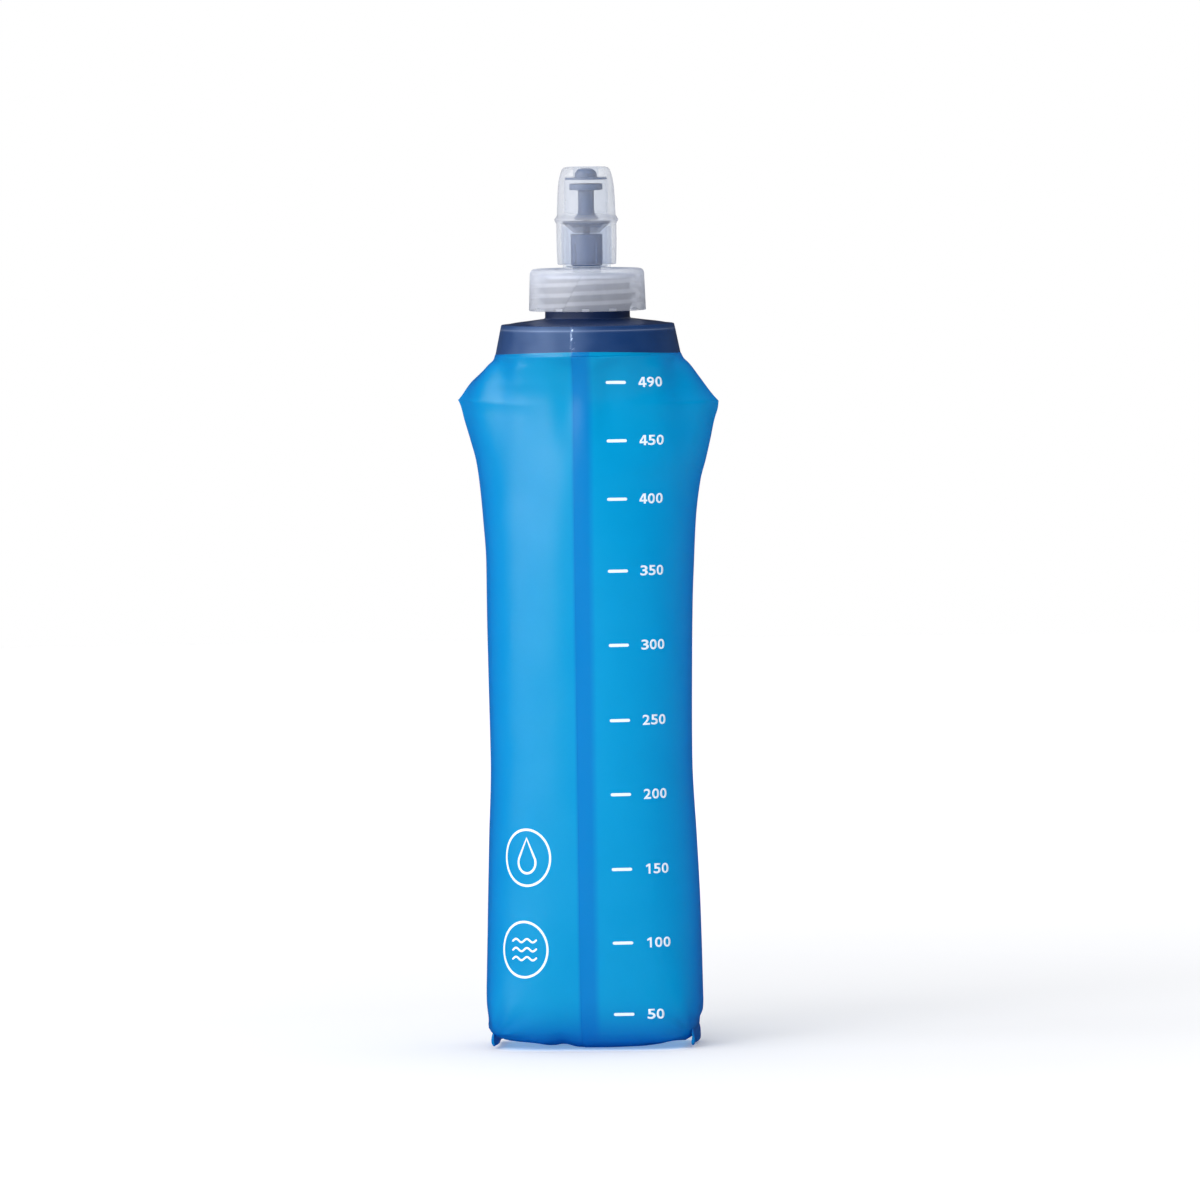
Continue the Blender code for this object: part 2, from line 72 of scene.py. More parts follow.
# Film sections in millimetres: height, left half width, right half width, half depth,
# squareness (2 is an ellipse) and crease (1 is two arcs that meet in a crease at each side).
FILM_LEVELS = np.array(
    (
        (0.0, 12.5, 16.0, 8.5, 2.6, 0.0),
        (0.6, 15.2, 19.0, 13.0, 2.9, 0.0),
        (1.3, 18.0, 22.6, 16.2, 3.2, 0.0),
        (2.3, 24.6, 27.4, 19.2, 3.6, 0.0),
        (3.7, 28.9, 29.0, 20.9, 3.9, 0.0),
        (5.0, 30.4, 29.3, 21.8, 4.0, 0.0),
        (7.5, 31.0, 29.6, 22.6, 3.8, 0.0),
        (9.9, 31.3, 30.5, 23.0, 3.6, 0.0),
        (13.3, 31.5, 30.8, 23.5, 3.3, 0.0),
        (24.9, 31.4, 30.7, 24.1, 2.8, 0.0),
        (36.5, 31.2, 30.5, 24.5, 2.6, 0.0),
        (59.7, 30.6, 29.7, 24.8, 2.4, 0.0),
        (82.9, 29.75, 28.8, 24.8, 2.4, 0.0),
        (106.1, 30.0, 29.1, 24.8, 2.35, 0.0),
        (129.3, 30.3, 29.4, 24.8, 2.25, 0.05),
        (140.9, 30.4, 29.9, 24.7, 2.2, 0.1),
        (152.5, 31.1, 30.6, 24.4, 2.1, 0.2),
        (164.1, 32.1, 32.2, 23.9, 2.0, 0.4),
        (169.9, 33.0, 33.8, 23.5, 2.0, 0.55),
        (175.7, 34.7, 35.2, 23.0, 2.0, 0.7),
        (181.5, 36.6, 36.5, 22.6, 2.0, 0.9),
        (185.0, 37.6, 37.6, 22.35, 2.0, 1.0),
        (186.8, 38.4, 37.8, 22.3, 2.0, 1.0),
        (188.5, 37.1, 36.2, 22.4, 2.0, 0.95),
        (190.2, 36.0, 34.8, 22.6, 2.0, 0.9),
        (192.5, 34.3, 33.1, 23.1, 2.0, 0.75),
        (194.4, 32.4, 31.7, 23.6, 2.0, 0.6),
        (197.2, 29.6, 29.6, 24.7, 2.0, 0.35),
        (199.2, 27.5, 27.8, 25.8, 2.0, 0.15),
        (201.0, 26.8, 26.8, 26.8, 2.0, 0.0),
    )
)
WING_ROW = 22  # the row of FILM_LEVELS where the outline turns a sharp corner

# Rows of the film's mesh: from and to in millimetres, and how many.
ROW_SPANS = ((0, 5, 12), (5, 18, 14), (18, 160, 110), (160, 186.8, 36), (186.8, 201, 30))
BASE_RINGS = (0.08, 0.2, 0.35, 0.5, 0.65, 0.78, 0.88, 0.95)
BASE_RECESS = 0.0011
CORNER_X = 0.0285  # where the folds at the base corners fan out from
CORNER_Z = 0.004
FIN_HALF_LENGTH = 0.0140
FIN_STATIONS = 61
FIN_LOOP_POINTS = 28
BACK_COLUMNS = 36
FRONT_COLUMNS = 40
SEAM_COLUMNS = (-0.0025, -0.00242, -0.0016, -0.0006, 0.0004, 0.0014, 0.0025)

BAND_RADIUS = 0.026  # turns an angle round the collar into a distance along the film

# Prints: distances from the front's middle, measured along the film
TICK_START = 0.0070
TICK_END = 0.0129
TICK_WIDTH = 0.00087
NUMBER_START = 0.0167
NUMBER_HEIGHT = 0.0029
DIGIT_PITCH = 0.00265
PRINT_LIFT = 0.00002
PRINT_THICKNESS = 0.00005
SCALE_MARKS = (
    ("490", 0.1931),
    ("450", 0.1763),
    ("400", 0.1595),
    ("350", 0.1388),
    ("300", 0.1174),
    ("250", 0.0957),
    ("200", 0.0743),
    ("150", 0.0527),
    ("100", 0.0314),
    ("50", 0.0107),
)
EMBLEM_LINE = 0.00068
EMBLEM_SQUEEZE = 0.90  # how much narrower than tall the emblems are drawn
DROP_EMBLEM = (-0.0178, 0.0561, 0.0081)  # x, height and radius of its ring
WAVES_EMBLEM = (-0.0189, 0.0295, 0.0080)

PITCH = 0.0030
THREAD_START_Z = 0.2150
CAP_VISIBLE_TURNS = 2.7
CAP_EDGE_RADIUS = 0.0169
LUG_COUNT = 13  # small lugs round the cap's lower edge
LUG_PHASE = 0.31
LUG_HALF_WIDTH = 0.0011
LUG_HEIGHT = 0.0009

CAMERA_AIM = (0.00253, 0.00021, 0.1293)
CAMERA_AZIMUTH = 4.85
CAMERA_DISTANCE = 3.8
CAMERA_ELEVATION = 2.9
CAMERA_ROLL = 0.75
VIEW_WIDTH = 0.348
WORLD_FRONT = 0.02
WORLD_BACK = 0.9
WORLD_TOP = 1.15
WORLD_REFLECTED = 0.06  # how much of the world shows in reflections
FLOOR_RADIUS = 2.2
FLOOR_GLOW = (0.05, 0.32)  # near the bottle and far from it
BENEATH_HALF_WIDTH = 0.0285  # the floor patch under the film, lit by a painted light-blue glow that stands in for light passing through the film
BENEATH_HALF_DEPTH = 0.0220
PAINTED_GLOW_BENEATH = 0.42
KEY_TURN = -24  # degrees round from the camera
SOFTBOX_TURN = -56
KEY_POWER = 42.0
FILL_POWER = 2.8
SHEEN_POWER = 27.0

# ---------------------------------------------------------------- mesh helpers


def link(obj):
    bpy.context.scene.collection.objects.link(obj)
    return obj


def finish_mesh(bm, name, materials, sharp_degrees=40):
    """Makes an object from a bmesh, with outward normals and smooth shading up to an angle."""
    bmesh.ops.recalc_face_normals(bm, faces=bm.faces)
    mesh = bpy.data.meshes.new(name)
    bm.to_mesh(mesh)
    bm.free()
    for material in materials:
        mesh.materials.append(material)
    mesh.shade_smooth()
    mesh.set_sharp_from_angle(angle=math.radians(sharp_degrees))
    return link(bpy.data.objects.new(name, mesh))


def apply_modifiers(obj):
    graph = bpy.context.evaluated_depsgraph_get()
    mesh = bpy.data.meshes.new_from_object(obj.evaluated_get(graph), depsgraph=graph)
    obj.modifiers.clear()
    obj.data = mesh
    return obj


def set_values(mesh, name, values):
    """Stores one number a vertex for the mesh's material."""
    attribute = mesh.attributes.new(name, "FLOAT", "POINT")
    attribute.data.foreach_set("value", np.ascontiguousarray(values, np.float32).ravel())


def set_places(mesh, name, places):
    """Stores one point a vertex for the mesh's material."""
    attribute = mesh.attributes.new(name, "FLOAT_VECTOR", "POINT")
    attribute.data.foreach_set("vector", np.ascontiguousarray(places, np.float32).ravel())


def smooth_step(low, high, values):
    t = np.clip((values - low) / (high - low), 0.0, 1.0)
    return t * t * (3 - 2 * t)


def bell(values, middle, width):
    return np.exp(-(((values - middle) / width) ** 2))


def rounded(corners, steps=5):
    """A closed profile in metres, from corners (radius, height, fillet) in millimetres, each
    rounded by its fillet."""
    corners = [[round(value * MM, 9) for value in corner] for corner in corners]
    points = []
    count = len(corners)
    for index, (radius, height, fillet) in enumerate(corners):
        here = np.array((radius, height))
        if fillet == 0:
            points.append(here)
            continue
        back = np.array(corners[index - 1][:2]) - here
        ahead = np.array(corners[(index + 1) % count][:2]) - here
        reach_back = min(fillet / np.linalg.norm(back), 0.48)
        reach_ahead = min(fillet / np.linalg.norm(ahead), 0.48)
        start, end = here + back * reach_back, here + ahead * reach_ahead
        for t in np.linspace(0, 1, steps):
            points.append((1 - t) ** 2 * start + 2 * t * (1 - t) * here + t * t * end)
    return np.array(points)


def refined(profile, low_z, high_z, step):
    """Adds points to a closed profile where it runs between two heights."""
    points = []
    for here, ahead in zip(profile, np.roll(profile, -1, axis=0)):
        points.append(here)
        inside = low_z <= min(here[1], ahead[1]) and max(here[1], ahead[1]) <= high_z
        parts = int(np.linalg.norm(ahead - here) / step) if inside else 0
        for part in range(1, parts):
            points.append(here + (ahead - here) * part / parts)
    return np.array(points)


def turned(name, profile, sides, materials, shift=None, on_axis=False, veil=None):
    """A solid of revolution. The profile is closed, or has both ends on the axis. shift gives a
    radial move and veil the milkiness, each from angles, radii and heights."""
    angles = np.linspace(0, 2 * math.pi, sides, endpoint=False)[:, None]
    radii, heights = profile[:, 0][None, :], profile[:, 1][None, :]
    moved = radii + (shift(angles, radii, heights) if shift else 0.0)
    moved = np.broadcast_to(moved, (sides, len(profile)))
    bm = bmesh.new()
    rings = []
    for index, height in enumerate(profile[:, 1]):
        if on_axis and profile[index, 0] == 0:
            rings.append([bm.verts.new((0.0, 0.0, height))] * sides)
            continue
        ring = []
        for angle, radius in zip(angles[:, 0], moved[:, index]):
            ring.append(bm.verts.new((radius * math.cos(angle), radius * math.sin(angle), height)))
        rings.append(ring)
    pairs = list(zip(rings, rings[1:])) if on_axis else list(zip(rings, rings[1:] + rings[:1]))
    for upper, lower in pairs:
        for i in range(sides):
            j = (i + 1) % sides
            corners = (upper[i], lower[i], lower[j], upper[j])
            bm.faces.new(list(dict.fromkeys(corners)))
    obj = finish_mesh(bm, name, materials)
    if veil is not None:
        values = veil(angles, radii, heights)
        set_values(obj.data, "veil", np.broadcast_to(values, (sides, len(profile))).T)
    return obj


def ridge(angles, heights, start_angle, turns):
    """How high a helical thread stands, from 0 to 1, at each angle and height."""
    turn = (angles - start_angle) % (2 * math.pi) / (2 * math.pi)
    along = (heights - THREAD_START_Z) / PITCH - turn
    number = np.round(along)
    offset = np.abs(along - number) * PITCH
    travel = number + turn
    ends = smooth_step(-0.01, 0.08, travel) * (1 - smooth_step(turns - 0.08, turns + 0.01, travel))
    return ends * (1 - smooth_step(0.0003, 0.00085, offset))


# ---------------------------------------------------------------- materials


class Graph:
    """A material's node tree, with its nodes made and joined in one call each."""

    def __init__(self, name):
        self.material = bpy.data.materials.new(name)
        self.material.use_nodes = True
        self.tree = self.material.node_tree
        self.tree.nodes.clear()

    def add(self, kind, settings=None, **inputs):
        node = self.tree.nodes.new(kind)
        for key, value in (settings or {}).items():
            setattr(node, key, value)
        for key, value in inputs.items():
            self.put(node.inputs[int(key[1:]) if key[0] == "n" else key.replace("_", " ")], value)
        return node

    def put(self, socket, value):
        if isinstance(value, bpy.types.NodeSocket):
            self.tree.links.new(value, socket)
        else:
            socket.default_value = value

    def place(self):
        """Object coordinates."""
        return self.add("ShaderNodeTexCoord").outputs["Object"]

    def attribute(self, name, output="Fac"):
        return self.add("ShaderNodeAttribute", {"attribute_name": name}).outputs[output]

    def noise(self, place, scale, detail=3.0, roughness=0.5):
        node = self.add(
            "ShaderNodeTexNoise", Vector=place, Scale=scale, Detail=detail, Roughness=roughness
        )
        return node.outputs["Fac"]

    def spread(self, value, low, high, to_low, to_high):
        node = self.add(
            "ShaderNodeMapRange",
            Value=value,
            From_Min=low,
            From_Max=high,
            To_Min=to_low,
            To_Max=to_high,
        )
        return node.outputs["Result"]

    def math(self, operation, a, b):
        return self.add("ShaderNodeMath", {"operation": operation}, n0=a, n1=b).outputs[0]

    def blend_colours(self, factor, a, b):
        node = self.add("ShaderNodeMix", {"data_type": "RGBA"}, n0=factor, n6=a, n7=b)
        return node.outputs[2]

    def mix(self, factor, a, b):
        return self.add("ShaderNodeMixShader", n0=factor, n1=a, n2=b).outputs[0]

    def bump(self, height, strength, distance):
        node = self.add("ShaderNodeBump", Height=height, Strength=strength, Distance=distance)
        return node.outputs["Normal"]

    def plastic(self, colour, roughness, **inputs):
        inputs.update(Base_Color=colour, Roughness=roughness)
        return self.add("ShaderNodeBsdfPrincipled", **inputs).outputs[0]

    def output(self, shader):
        self.add("ShaderNodeOutputMaterial", Surface=shader)
        return self.material


def film_shader(g, place, weld, base):
    """Satin blue film: it reflects a little, and lets diffuse light through."""
    cloud = g.noise(place, 90.0, 4.0, 0.55)
    sheet = g.blend_colours(cloud, (0.000, 0.355, 0.670, 1), (0.000, 0.405, 0.730, 1))
    doubled = g.blend_colours(weld, sheet, (0.000, 0.250, 0.635, 1))
    facing = g.add("ShaderNodeLayerWeight", Blend=0.5).outputs["Facing"]
    along = g.blend_colours(g.math("POWER", facing, 1.3), doubled, (0.000, 0.150, 0.600, 1))
    front = g.blend_colours(base, along, (0.000, 0.155, 0.560, 1))
    through = g.blend_colours(weld, (0.000, 0.480, 0.800, 1), (0.000, 0.380, 0.740, 1))
    through = g.blend_colours(base, through, (0.000, 0.160, 0.460, 1))
    ripple = g.bump(g.noise(place, 320.0, 3.0, 0.5), 0.08, 0.0005)
    grained = g.add(
        "ShaderNodeBump",
        Height=g.noise(place, 2600.0, 2.0, 0.6),
        Strength=0.14,
        Distance=0.00005,
        Normal=ripple,
    ).outputs["Normal"]
    rough = g.spread(cloud, 0.3, 0.7, 0.22, 0.27)
    body = g.plastic(front, rough, IOR=1.45, Specular_IOR_Level=0.35, Normal=grained)
    glow = g.add("ShaderNodeBsdfTranslucent", Color=through, Normal=grained).outputs[0]
    return g.mix(0.4, body, glow)


def film_outside():
    g = Graph("film_outside")
    place = g.attribute("rest_place", "Vector")
    return g.output(film_shader(g, place, g.attribute("weld"), g.attribute("base")))


def film_inside():
    """The film's inner face, clear so that each sheet colours the light once."""
    g = Graph("film_inside")
    clear = g.add("ShaderNodeBsdfTransparent").outputs[0]
    rough = g.spread(g.noise(g.place(), 90.0), 0.3, 0.7, 0.4, 0.5)
    sheen = g.plastic((0.0, 0.28, 0.66, 1), rough)
    return g.output(g.mix(0.04, clear, sheen))


def band_film():
    """Blue film welded flat on the navy collar, so it looks navy, with pale specks along the
    seam's edge and a painted highlight along the film's rolled upper edge. The collar's edge shows
    through the film as a line that rises a little at the front and back."""
    g = Graph("band_film")
    place = g.attribute("rest_place", "Vector")
    cloud = g.noise(place, 160.0, 4.0, 0.6)
    navy = g.blend_colours(cloud, (0.003, 0.028, 0.125, 1), (0.006, 0.045, 0.170, 1))
    speck = g.spread(g.noise(place, 900.0, 2.0, 0.5), 0.58, 0.66, 0.0, 1.0)
    seam_specks_and_painted_rim_highlight = g.math("MULTIPLY", speck, g.attribute("edge"))
    # the pale line along the film's rolled upper edge is a painted highlight
    seam_specks_and_painted_rim_highlight = g.math("MAXIMUM", seam_specks_and_painted_rim_highlight, g.math("MULTIPLY", g.attribute("painted_rim_highlight"), 0.22))
    colour = g.blend_colours(seam_specks_and_painted_rim_highlight, navy, (0.50, 0.62, 0.86, 1))
    streak_place = g.add("ShaderNodeMapping", Vector=place, Scale=(1.0, 1.0, 9.0)).outputs[0]
    streaks = g.bump(g.noise(streak_place, 120.0, 3.0, 0.5), 0.18, 0.0004)
    rough = g.spread(cloud, 0.3, 0.7, 0.28, 0.38)
    tint = (0.55, 0.72, 1.0, 1)
    shine = {"IOR": 1.7, "Specular_IOR_Level": 0.9, "Specular_Tint": tint}
    body = g.plastic(colour, rough, Normal=streaks, **shine)
    split = g.add("ShaderNodeSeparateXYZ", Vector=place).outputs
    rise = g.math("MULTIPLY", g.math("MULTIPLY", split[1], split[1]), 1.53)
    above = g.math("SUBTRACT", split[2], g.math("ADD", rise, COLLAR_LINE_Z))
    on_collar = g.spread(above, -0.00005, 0.00005, 0.0, 1.0)
    sheet = film_shader(g, place, g.attribute("weld"), 0.0)
    return g.output(g.mix(on_collar, sheet, body))


def moulded(name, low, high, roughness):
    """Opaque moulded plastic with faint flow clouds and a fine grain."""
    g = Graph(name)
    place = g.place()
    cloud = g.noise(place, 140.0, 4.0, 0.55)
    grain = g.bump(g.noise(place, 1800.0, 2.0, 0.6), 0.12, 0.00005)
    rough = g.spread(cloud, 0.3, 0.7, roughness, roughness + 0.1)
    return g.output(g.plastic(g.blend_colours(cloud, low, high), rough, IOR=1.49, Normal=grain))


def frosted(name, low, high, edge_veil, roughness):
    """Milky see-through plastic. The mesh's veil value is how much a wall hides seen square on,
    and edge_veil how many times more it hides where it is seen along."""
    g = Graph(name)
    place = g.place()
    cloud = g.noise(place, 150.0, 4.0, 0.55)
    colour = g.blend_colours(cloud, low, high)
    grain = g.bump(g.noise(place, 2200.0, 2.0, 0.6), 0.14, 0.00005)
    rough = g.spread(cloud, 0.3, 0.7, roughness, roughness + 0.08)
    body = g.plastic(colour, rough, IOR=1.49, Normal=grain)
    glow = g.add("ShaderNodeBsdfTranslucent", Color=colour, Normal=grain).outputs[0]
    clear = g.add("ShaderNodeBsdfTransparent", Color=(0.940, 0.956, 0.980, 1)).outputs[0]
    facing = g.add("ShaderNodeLayerWeight", Blend=0.5).outputs["Facing"]
    along = g.math("ADD", g.math("MULTIPLY", g.math("POWER", facing, 2.0), edge_veil), 1.0)
    mottle = g.spread(cloud, 0.2, 0.8, 0.92, 1.08)
    veil = g.math("MULTIPLY", g.math("MULTIPLY", g.attribute("veil"), mottle), along)
    return g.output(g.mix(g.math("MINIMUM", veil, 0.96), clear, g.mix(0.5, body, glow)))


def print_ink():
    g = Graph("print_ink")
    cloud = g.noise(g.attribute("rest_place", "Vector"), 700.0, 3.0, 0.6)
    colour = g.blend_colours(cloud, (0.64, 0.78, 0.90, 1), (0.80, 0.89, 0.96, 1))
    return g.output(g.plastic(colour, g.spread(cloud, 0.3, 0.7, 0.45, 0.6)))


# ---------------------------------------------------------------- film body


def monotone(x, y, at):
    """A smooth curve through points, which never overshoots them."""
    width = np.diff(x)
    slope = np.diff(y) / width
    tangent = np.concatenate(([slope[0]], np.zeros(len(x) - 2), [slope[-1]]))
    left, right = 2 * width[1:] + width[:-1], width[1:] + 2 * width[:-1]
    for k in np.nonzero(slope[1:] * slope[:-1] > 0)[0]:
        tangent[k + 1] = (left[k] + right[k]) / (left[k] / slope[k] + right[k] / slope[k + 1])
    i = np.clip(np.searchsorted(x, at) - 1, 0, len(x) - 2)
    t = (at - x[i]) / width[i]
    return (
        y[i] * (2 * t**3 - 3 * t**2 + 1)
        + tangent[i] * width[i] * (t**3 - 2 * t**2 + t)
        + y[i + 1] * (3 * t**2 - 2 * t**3)
        + tangent[i + 1] * width[i] * (t**3 - t**2)
    )


def level_values(heights):
    """Each column of FILM_LEVELS at these heights, in metres."""
    table = FILM_LEVELS * (MM, MM, MM, MM, 1.0, 1.0)
    columns = []
    for column in table.T[1:]:
        low = monotone(table[: WING_ROW + 1, 0], column[: WING_ROW + 1], heights)
        high = monotone(table[WING_ROW:, 0], column[WING_ROW:], heights)
        columns.append(np.where(heights <= table[WING_ROW, 0], low, high))
    return columns


def outline(left, right, depth, squareness, crease):
    """Points round one section, from the front's middle to the right and round the back."""
    angles = np.linspace(-math.pi / 2, 3 * math.pi / 2, OUTLINE_POINTS + 1)
    cosine, sine = np.cos(angles), np.sin(angles)
    half_width = np.where(cosine >= 0, right, left)
    power = 2 / squareness
    oval_x = np.sign(cosine) * np.abs(cosine) ** power * half_width
    oval_y = np.sign(sine) * np.abs(sine) ** power * depth
    arc_radius = (half_width**2 + depth**2) / (2 * depth)
    arc_x = half_width * cosine
    arc_y = np.sqrt(np.maximum(arc_radius**2 - arc_x**2, 0)) - (arc_radius - depth)
    arc_y = np.sign(np.round(sine, 9)) * np.maximum(arc_y, 0)
    return oval_x + (arc_x - oval_x) * crease, oval_y + (arc_y - oval_y) * crease


def eased(start, end, count):
    """Places from start up to, not including, end, closer together near both."""
    t = np.linspace(0, 1, count, endpoint=False)
    return start + (end - start) * (0.75 * t + 0.25 * (0.5 - 0.5 * np.cos(math.pi * t)))


def section_columns(x, y):
    """Mesh columns of one section: their points and signed distances along the film from the
    front's middle. They run from the back's middle round the left, the front and the right."""
    lengths = np.concatenate(([0.0], np.cumsum(np.hypot(np.diff(x), np.diff(y)))))
    quarter = OUTLINE_POINTS // 4
    total = lengths[-1]
    right_crease, back, left_crease = lengths[quarter], lengths[2 * quarter], lengths[3 * quarter]
    across = np.concatenate(
        (
            eased(back - total, left_crease - total, BACK_COLUMNS),
            eased(left_crease - total, SEAM_LEFT, FRONT_COLUMNS),
            np.array(SEAM_COLUMNS[:-1]),
            eased(SEAM_RIGHT, right_crease, FRONT_COLUMNS),
            eased(right_crease, back, BACK_COLUMNS),
        )
    )
    where = across % total
    return np.interp(where, lengths, x), np.interp(where, lengths, y), across


def softened(points):
    """The film's depths, with the wings' sharp corner smoothed away over its front and back."""
    taps = np.exp(-((np.arange(-8, 9) / 4.0) ** 2))
    taps /= taps.sum()
    padded = np.pad(points[..., 1], ((8, 8), (0, 0)), mode="edge")
    smooth = np.stack([np.convolve(column, taps, mode="valid") for column in padded.T], axis=1)
    x, z = points[..., 0], points[..., 2]
    share = np.abs(x) / np.abs(x).max(axis=1, keepdims=True)
    weight = (1 - smooth_step(0.85, 0.995, share)) * bell(z, WING_TIP_Z, 0.009)
    return points[..., 1] + (smooth - points[..., 1]) * weight


def film_rest():
    """The film's smooth shape: points [row, column, xyz], distances across and row heights."""
    spans = [np.linspace(a, b, n, endpoint=False) for a, b, n in ROW_SPANS]
    heights = np.append(np.concatenate(spans), ROW_SPANS[-1][1]) * MM
    values = level_values(heights)
    points, across = [], []
    for row, height in enumerate(heights):
        x, y, distances = section_columns(*outline(*(column[row] for column in values)))
        points.append(np.stack((x, y, np.full_like(x, height)), axis=1))
        across.append(distances)
    points, across = np.array(points), np.array(across)
    points[..., 1] = softened(points)
    factors = np.array(BASE_RINGS)[:, None, None]
    rings = points[0][None] * factors
    rings[..., 2] = BASE_RECESS * (1 - factors[..., 0] ** 2)
    points = np.concatenate((rings, points))
    across = np.concatenate((np.repeat(across[:1], len(BASE_RINGS), axis=0), across))
    heights = np.concatenate((np.linspace(-0.01, -0.001, len(BASE_RINGS)), heights))
    return points, across, heights


def grid_normals(points):
    """Outward normals of a grid whose columns wrap round."""
    along = np.roll(points, -1, axis=1) - np.roll(points, 1, axis=1)
    up = np.gradient(points, axis=0)
    normals = np.cross(along, up)
    return normals / np.maximum(np.linalg.norm(normals, axis=2, keepdims=True), 1e-12)


def noise_field(points, scale, seed):
    """Smooth noise about 0 at each point. scale holds waves per metre along each axis."""
    scaled = points * np.array(scale) + seed
    flat = [noise.noise(Vector(place)) for place in scaled.reshape(-1, 3)]
    return np.array(flat).reshape(points.shape[:-1])


def film_folds(points, across):
    """How far the film stands out from its smooth shape: the seam's step, folds and ripples."""
    x, y, z = points[..., 0], points[..., 1], points[..., 2]
    raised = across > SEAM_LEFT + 0.00001
    moved = raised * SEAM_STEP * (1 - smooth_step(SEAM_RIGHT, 0.018, across))
    wall = smooth_step(0.004, 0.02, z)
    slack = wall * (1 - smooth_step(0.185, 0.2005, z) * 0.75)
    moved += 0.00032 * slack * noise_field(points, (38, 38, 14), 3.0)
    moved += 0.00016 * slack * noise_field(points, (90, 90, 34), 11.0)
    angle = np.arctan2(y, x)
    below_collar = smooth_step(0.165, 0.195, z) * (1 - smooth_step(0.1975, 0.2008, z))
    pucker = np.cos(9 * angle + 0.8) + 0.6 * np.cos(14 * angle + 2.1)
    moved += 0.00036 * below_collar * pucker
    for side in (-1, 1):
        away = np.hypot(x - side * CORNER_X, z - CORNER_Z)
        turn = np.arctan2(z - CORNER_Z, side * (CORNER_X - side * x))
        fan = np.cos(9 * turn + 0.7 * side) * np.exp(-away / 0.009)
        moved += 0.00042 * fan * smooth_step(0.001, 0.004, away) * (z > 0.0012)
    return moved


def film_grid():
    """The film's final outer points, with what its material and its prints need."""
    points, across, heights = film_rest()
    normals = grid_normals(points)
    moved = points + normals * film_folds(points, across)[..., None]
    x, z = points[..., 0], points[..., 2]
    low = 1 - smooth_step(0.002, 0.007, z)
    moved[..., 2] += low * 0.0009 * bell(x, -0.0088, 0.0028) * (points[..., 1] < 0)
    wing = bell(z, WING_TIP_Z, 0.011) * smooth_step(0.016, 0.034, -x)
    moved[..., 2] += LEFT_WING_LIFT * wing
    moved[..., 2] = np.maximum(moved[..., 2], 0.00002)
    moved[-1] = points[-1]
    return moved, points, across, heights


def build_film(grid, outside, inside):
    moved, rest, across, _ = grid
    columns = moved.shape[1]
    bm = bmesh.new()
    verts = [[bm.verts.new(place) for place in row] for row in moved]
    for low, high in zip(verts, verts[1:]):
        for i in range(columns):
            j = (i + 1) % columns
            bm.faces.new((low[i], low[j], high[j], high[i]))
    middle = bm.verts.new((0.0, 0.0, BASE_RECESS))
    for i in range(columns):
        bm.faces.new((middle, verts[0][(i + 1) % columns], verts[0][i]))
    mesh = bpy.data.meshes.new("film_body")
    bm.to_mesh(mesh)
    bm.free()
    mesh.materials.append(outside)
    mesh.materials.append(inside)
    mesh.shade_smooth()
    places = np.concatenate((rest.reshape(-1, 3), ((0.0, 0.0, 0.0),)))
    flat_across = np.append(across.ravel(), 0.0)
    set_places(mesh, "rest_place", places)
    weld = smooth_step(SEAM_LEFT - 0.0001, SEAM_LEFT, flat_across)
    weld = weld * (1 - smooth_step(SEAM_RIGHT - 0.0003, SEAM_RIGHT + 0.0003, flat_across))
    set_values(mesh, "weld", weld)
    set_values(mesh, "base", 1 - smooth_step(0.0015, 0.016, places[:, 2]) ** 0.6)
    mesh.set_sharp_from_angle(angle=math.radians(32))
    obj = link(bpy.data.objects.new("film_body", mesh))
    wall = obj.modifiers.new("wall", "SOLIDIFY")
    wall.thickness = FILM_WALL
    wall.offset = -1.0
    wall.material_offset = 1
    wall.material_offset_rim = 1
    return apply_modifiers(obj)


def build_band(material):
    """The film over the collar's skirt: the weld's band, its rolled upper edge and the seam."""
    heights = np.array(
        (0.2010, 0.2012, 0.2016, 0.2030, 0.2045, 0.2060, 0.2075, 0.2079, 0.2081, 0.2083, 0.2089)
    )
    radii = np.interp(heights, (0.2010, 0.2089), (0.0268, 0.02512))
    outer = np.stack((radii, heights), axis=1)[::-1]
    top = np.array(((0.0245, 0.20925), (0.0247, 0.20945), (0.0249, 0.20942), (0.02503, 0.2092)))
    inner = np.array(((0.02632, 0.2010), (0.0243, 0.2089)))
    profile = np.concatenate((top, outer, inner))
    low, high = profile[:, 1].min(), profile[:, 1].max()

    def shift(angles, radii, heights):
        across = (angles - 1.5 * math.pi) * BAND_RADIUS
        outside = radii > 0.0262 - (heights - low) * 0.2
        raised = (across > SEAM_LEFT) * SEAM_STEP * (1 - smooth_step(0.0, 0.014, across))
        wave = 0.00006 * np.cos(11 * angles + 300 * heights) * np.cos(5 * angles)
        return (raised + wave * (heights - low) / (high - low)) * outside

    obj = turned("film_band", profile, 480, [material], shift)
    places = np.array([v.co for v in obj.data.vertices])
    set_places(obj.data, "rest_place", places)
    across = (np.arctan2(places[:, 1], places[:, 0]) + math.pi / 2) * BAND_RADIUS
    set_values(obj.data, "edge", bell(across, SEAM_LEFT + 0.0002, 0.0004))
    # a painted highlight along the film's rolled upper edge, at the front
    set_values(obj.data, "painted_rim_highlight", bell(places[:, 2], 0.2081, 0.00016) * (np.abs(across) < 0.06))
    set_values(obj.data, "weld", (across > SEAM_LEFT) & (across < SEAM_RIGHT))
    return obj


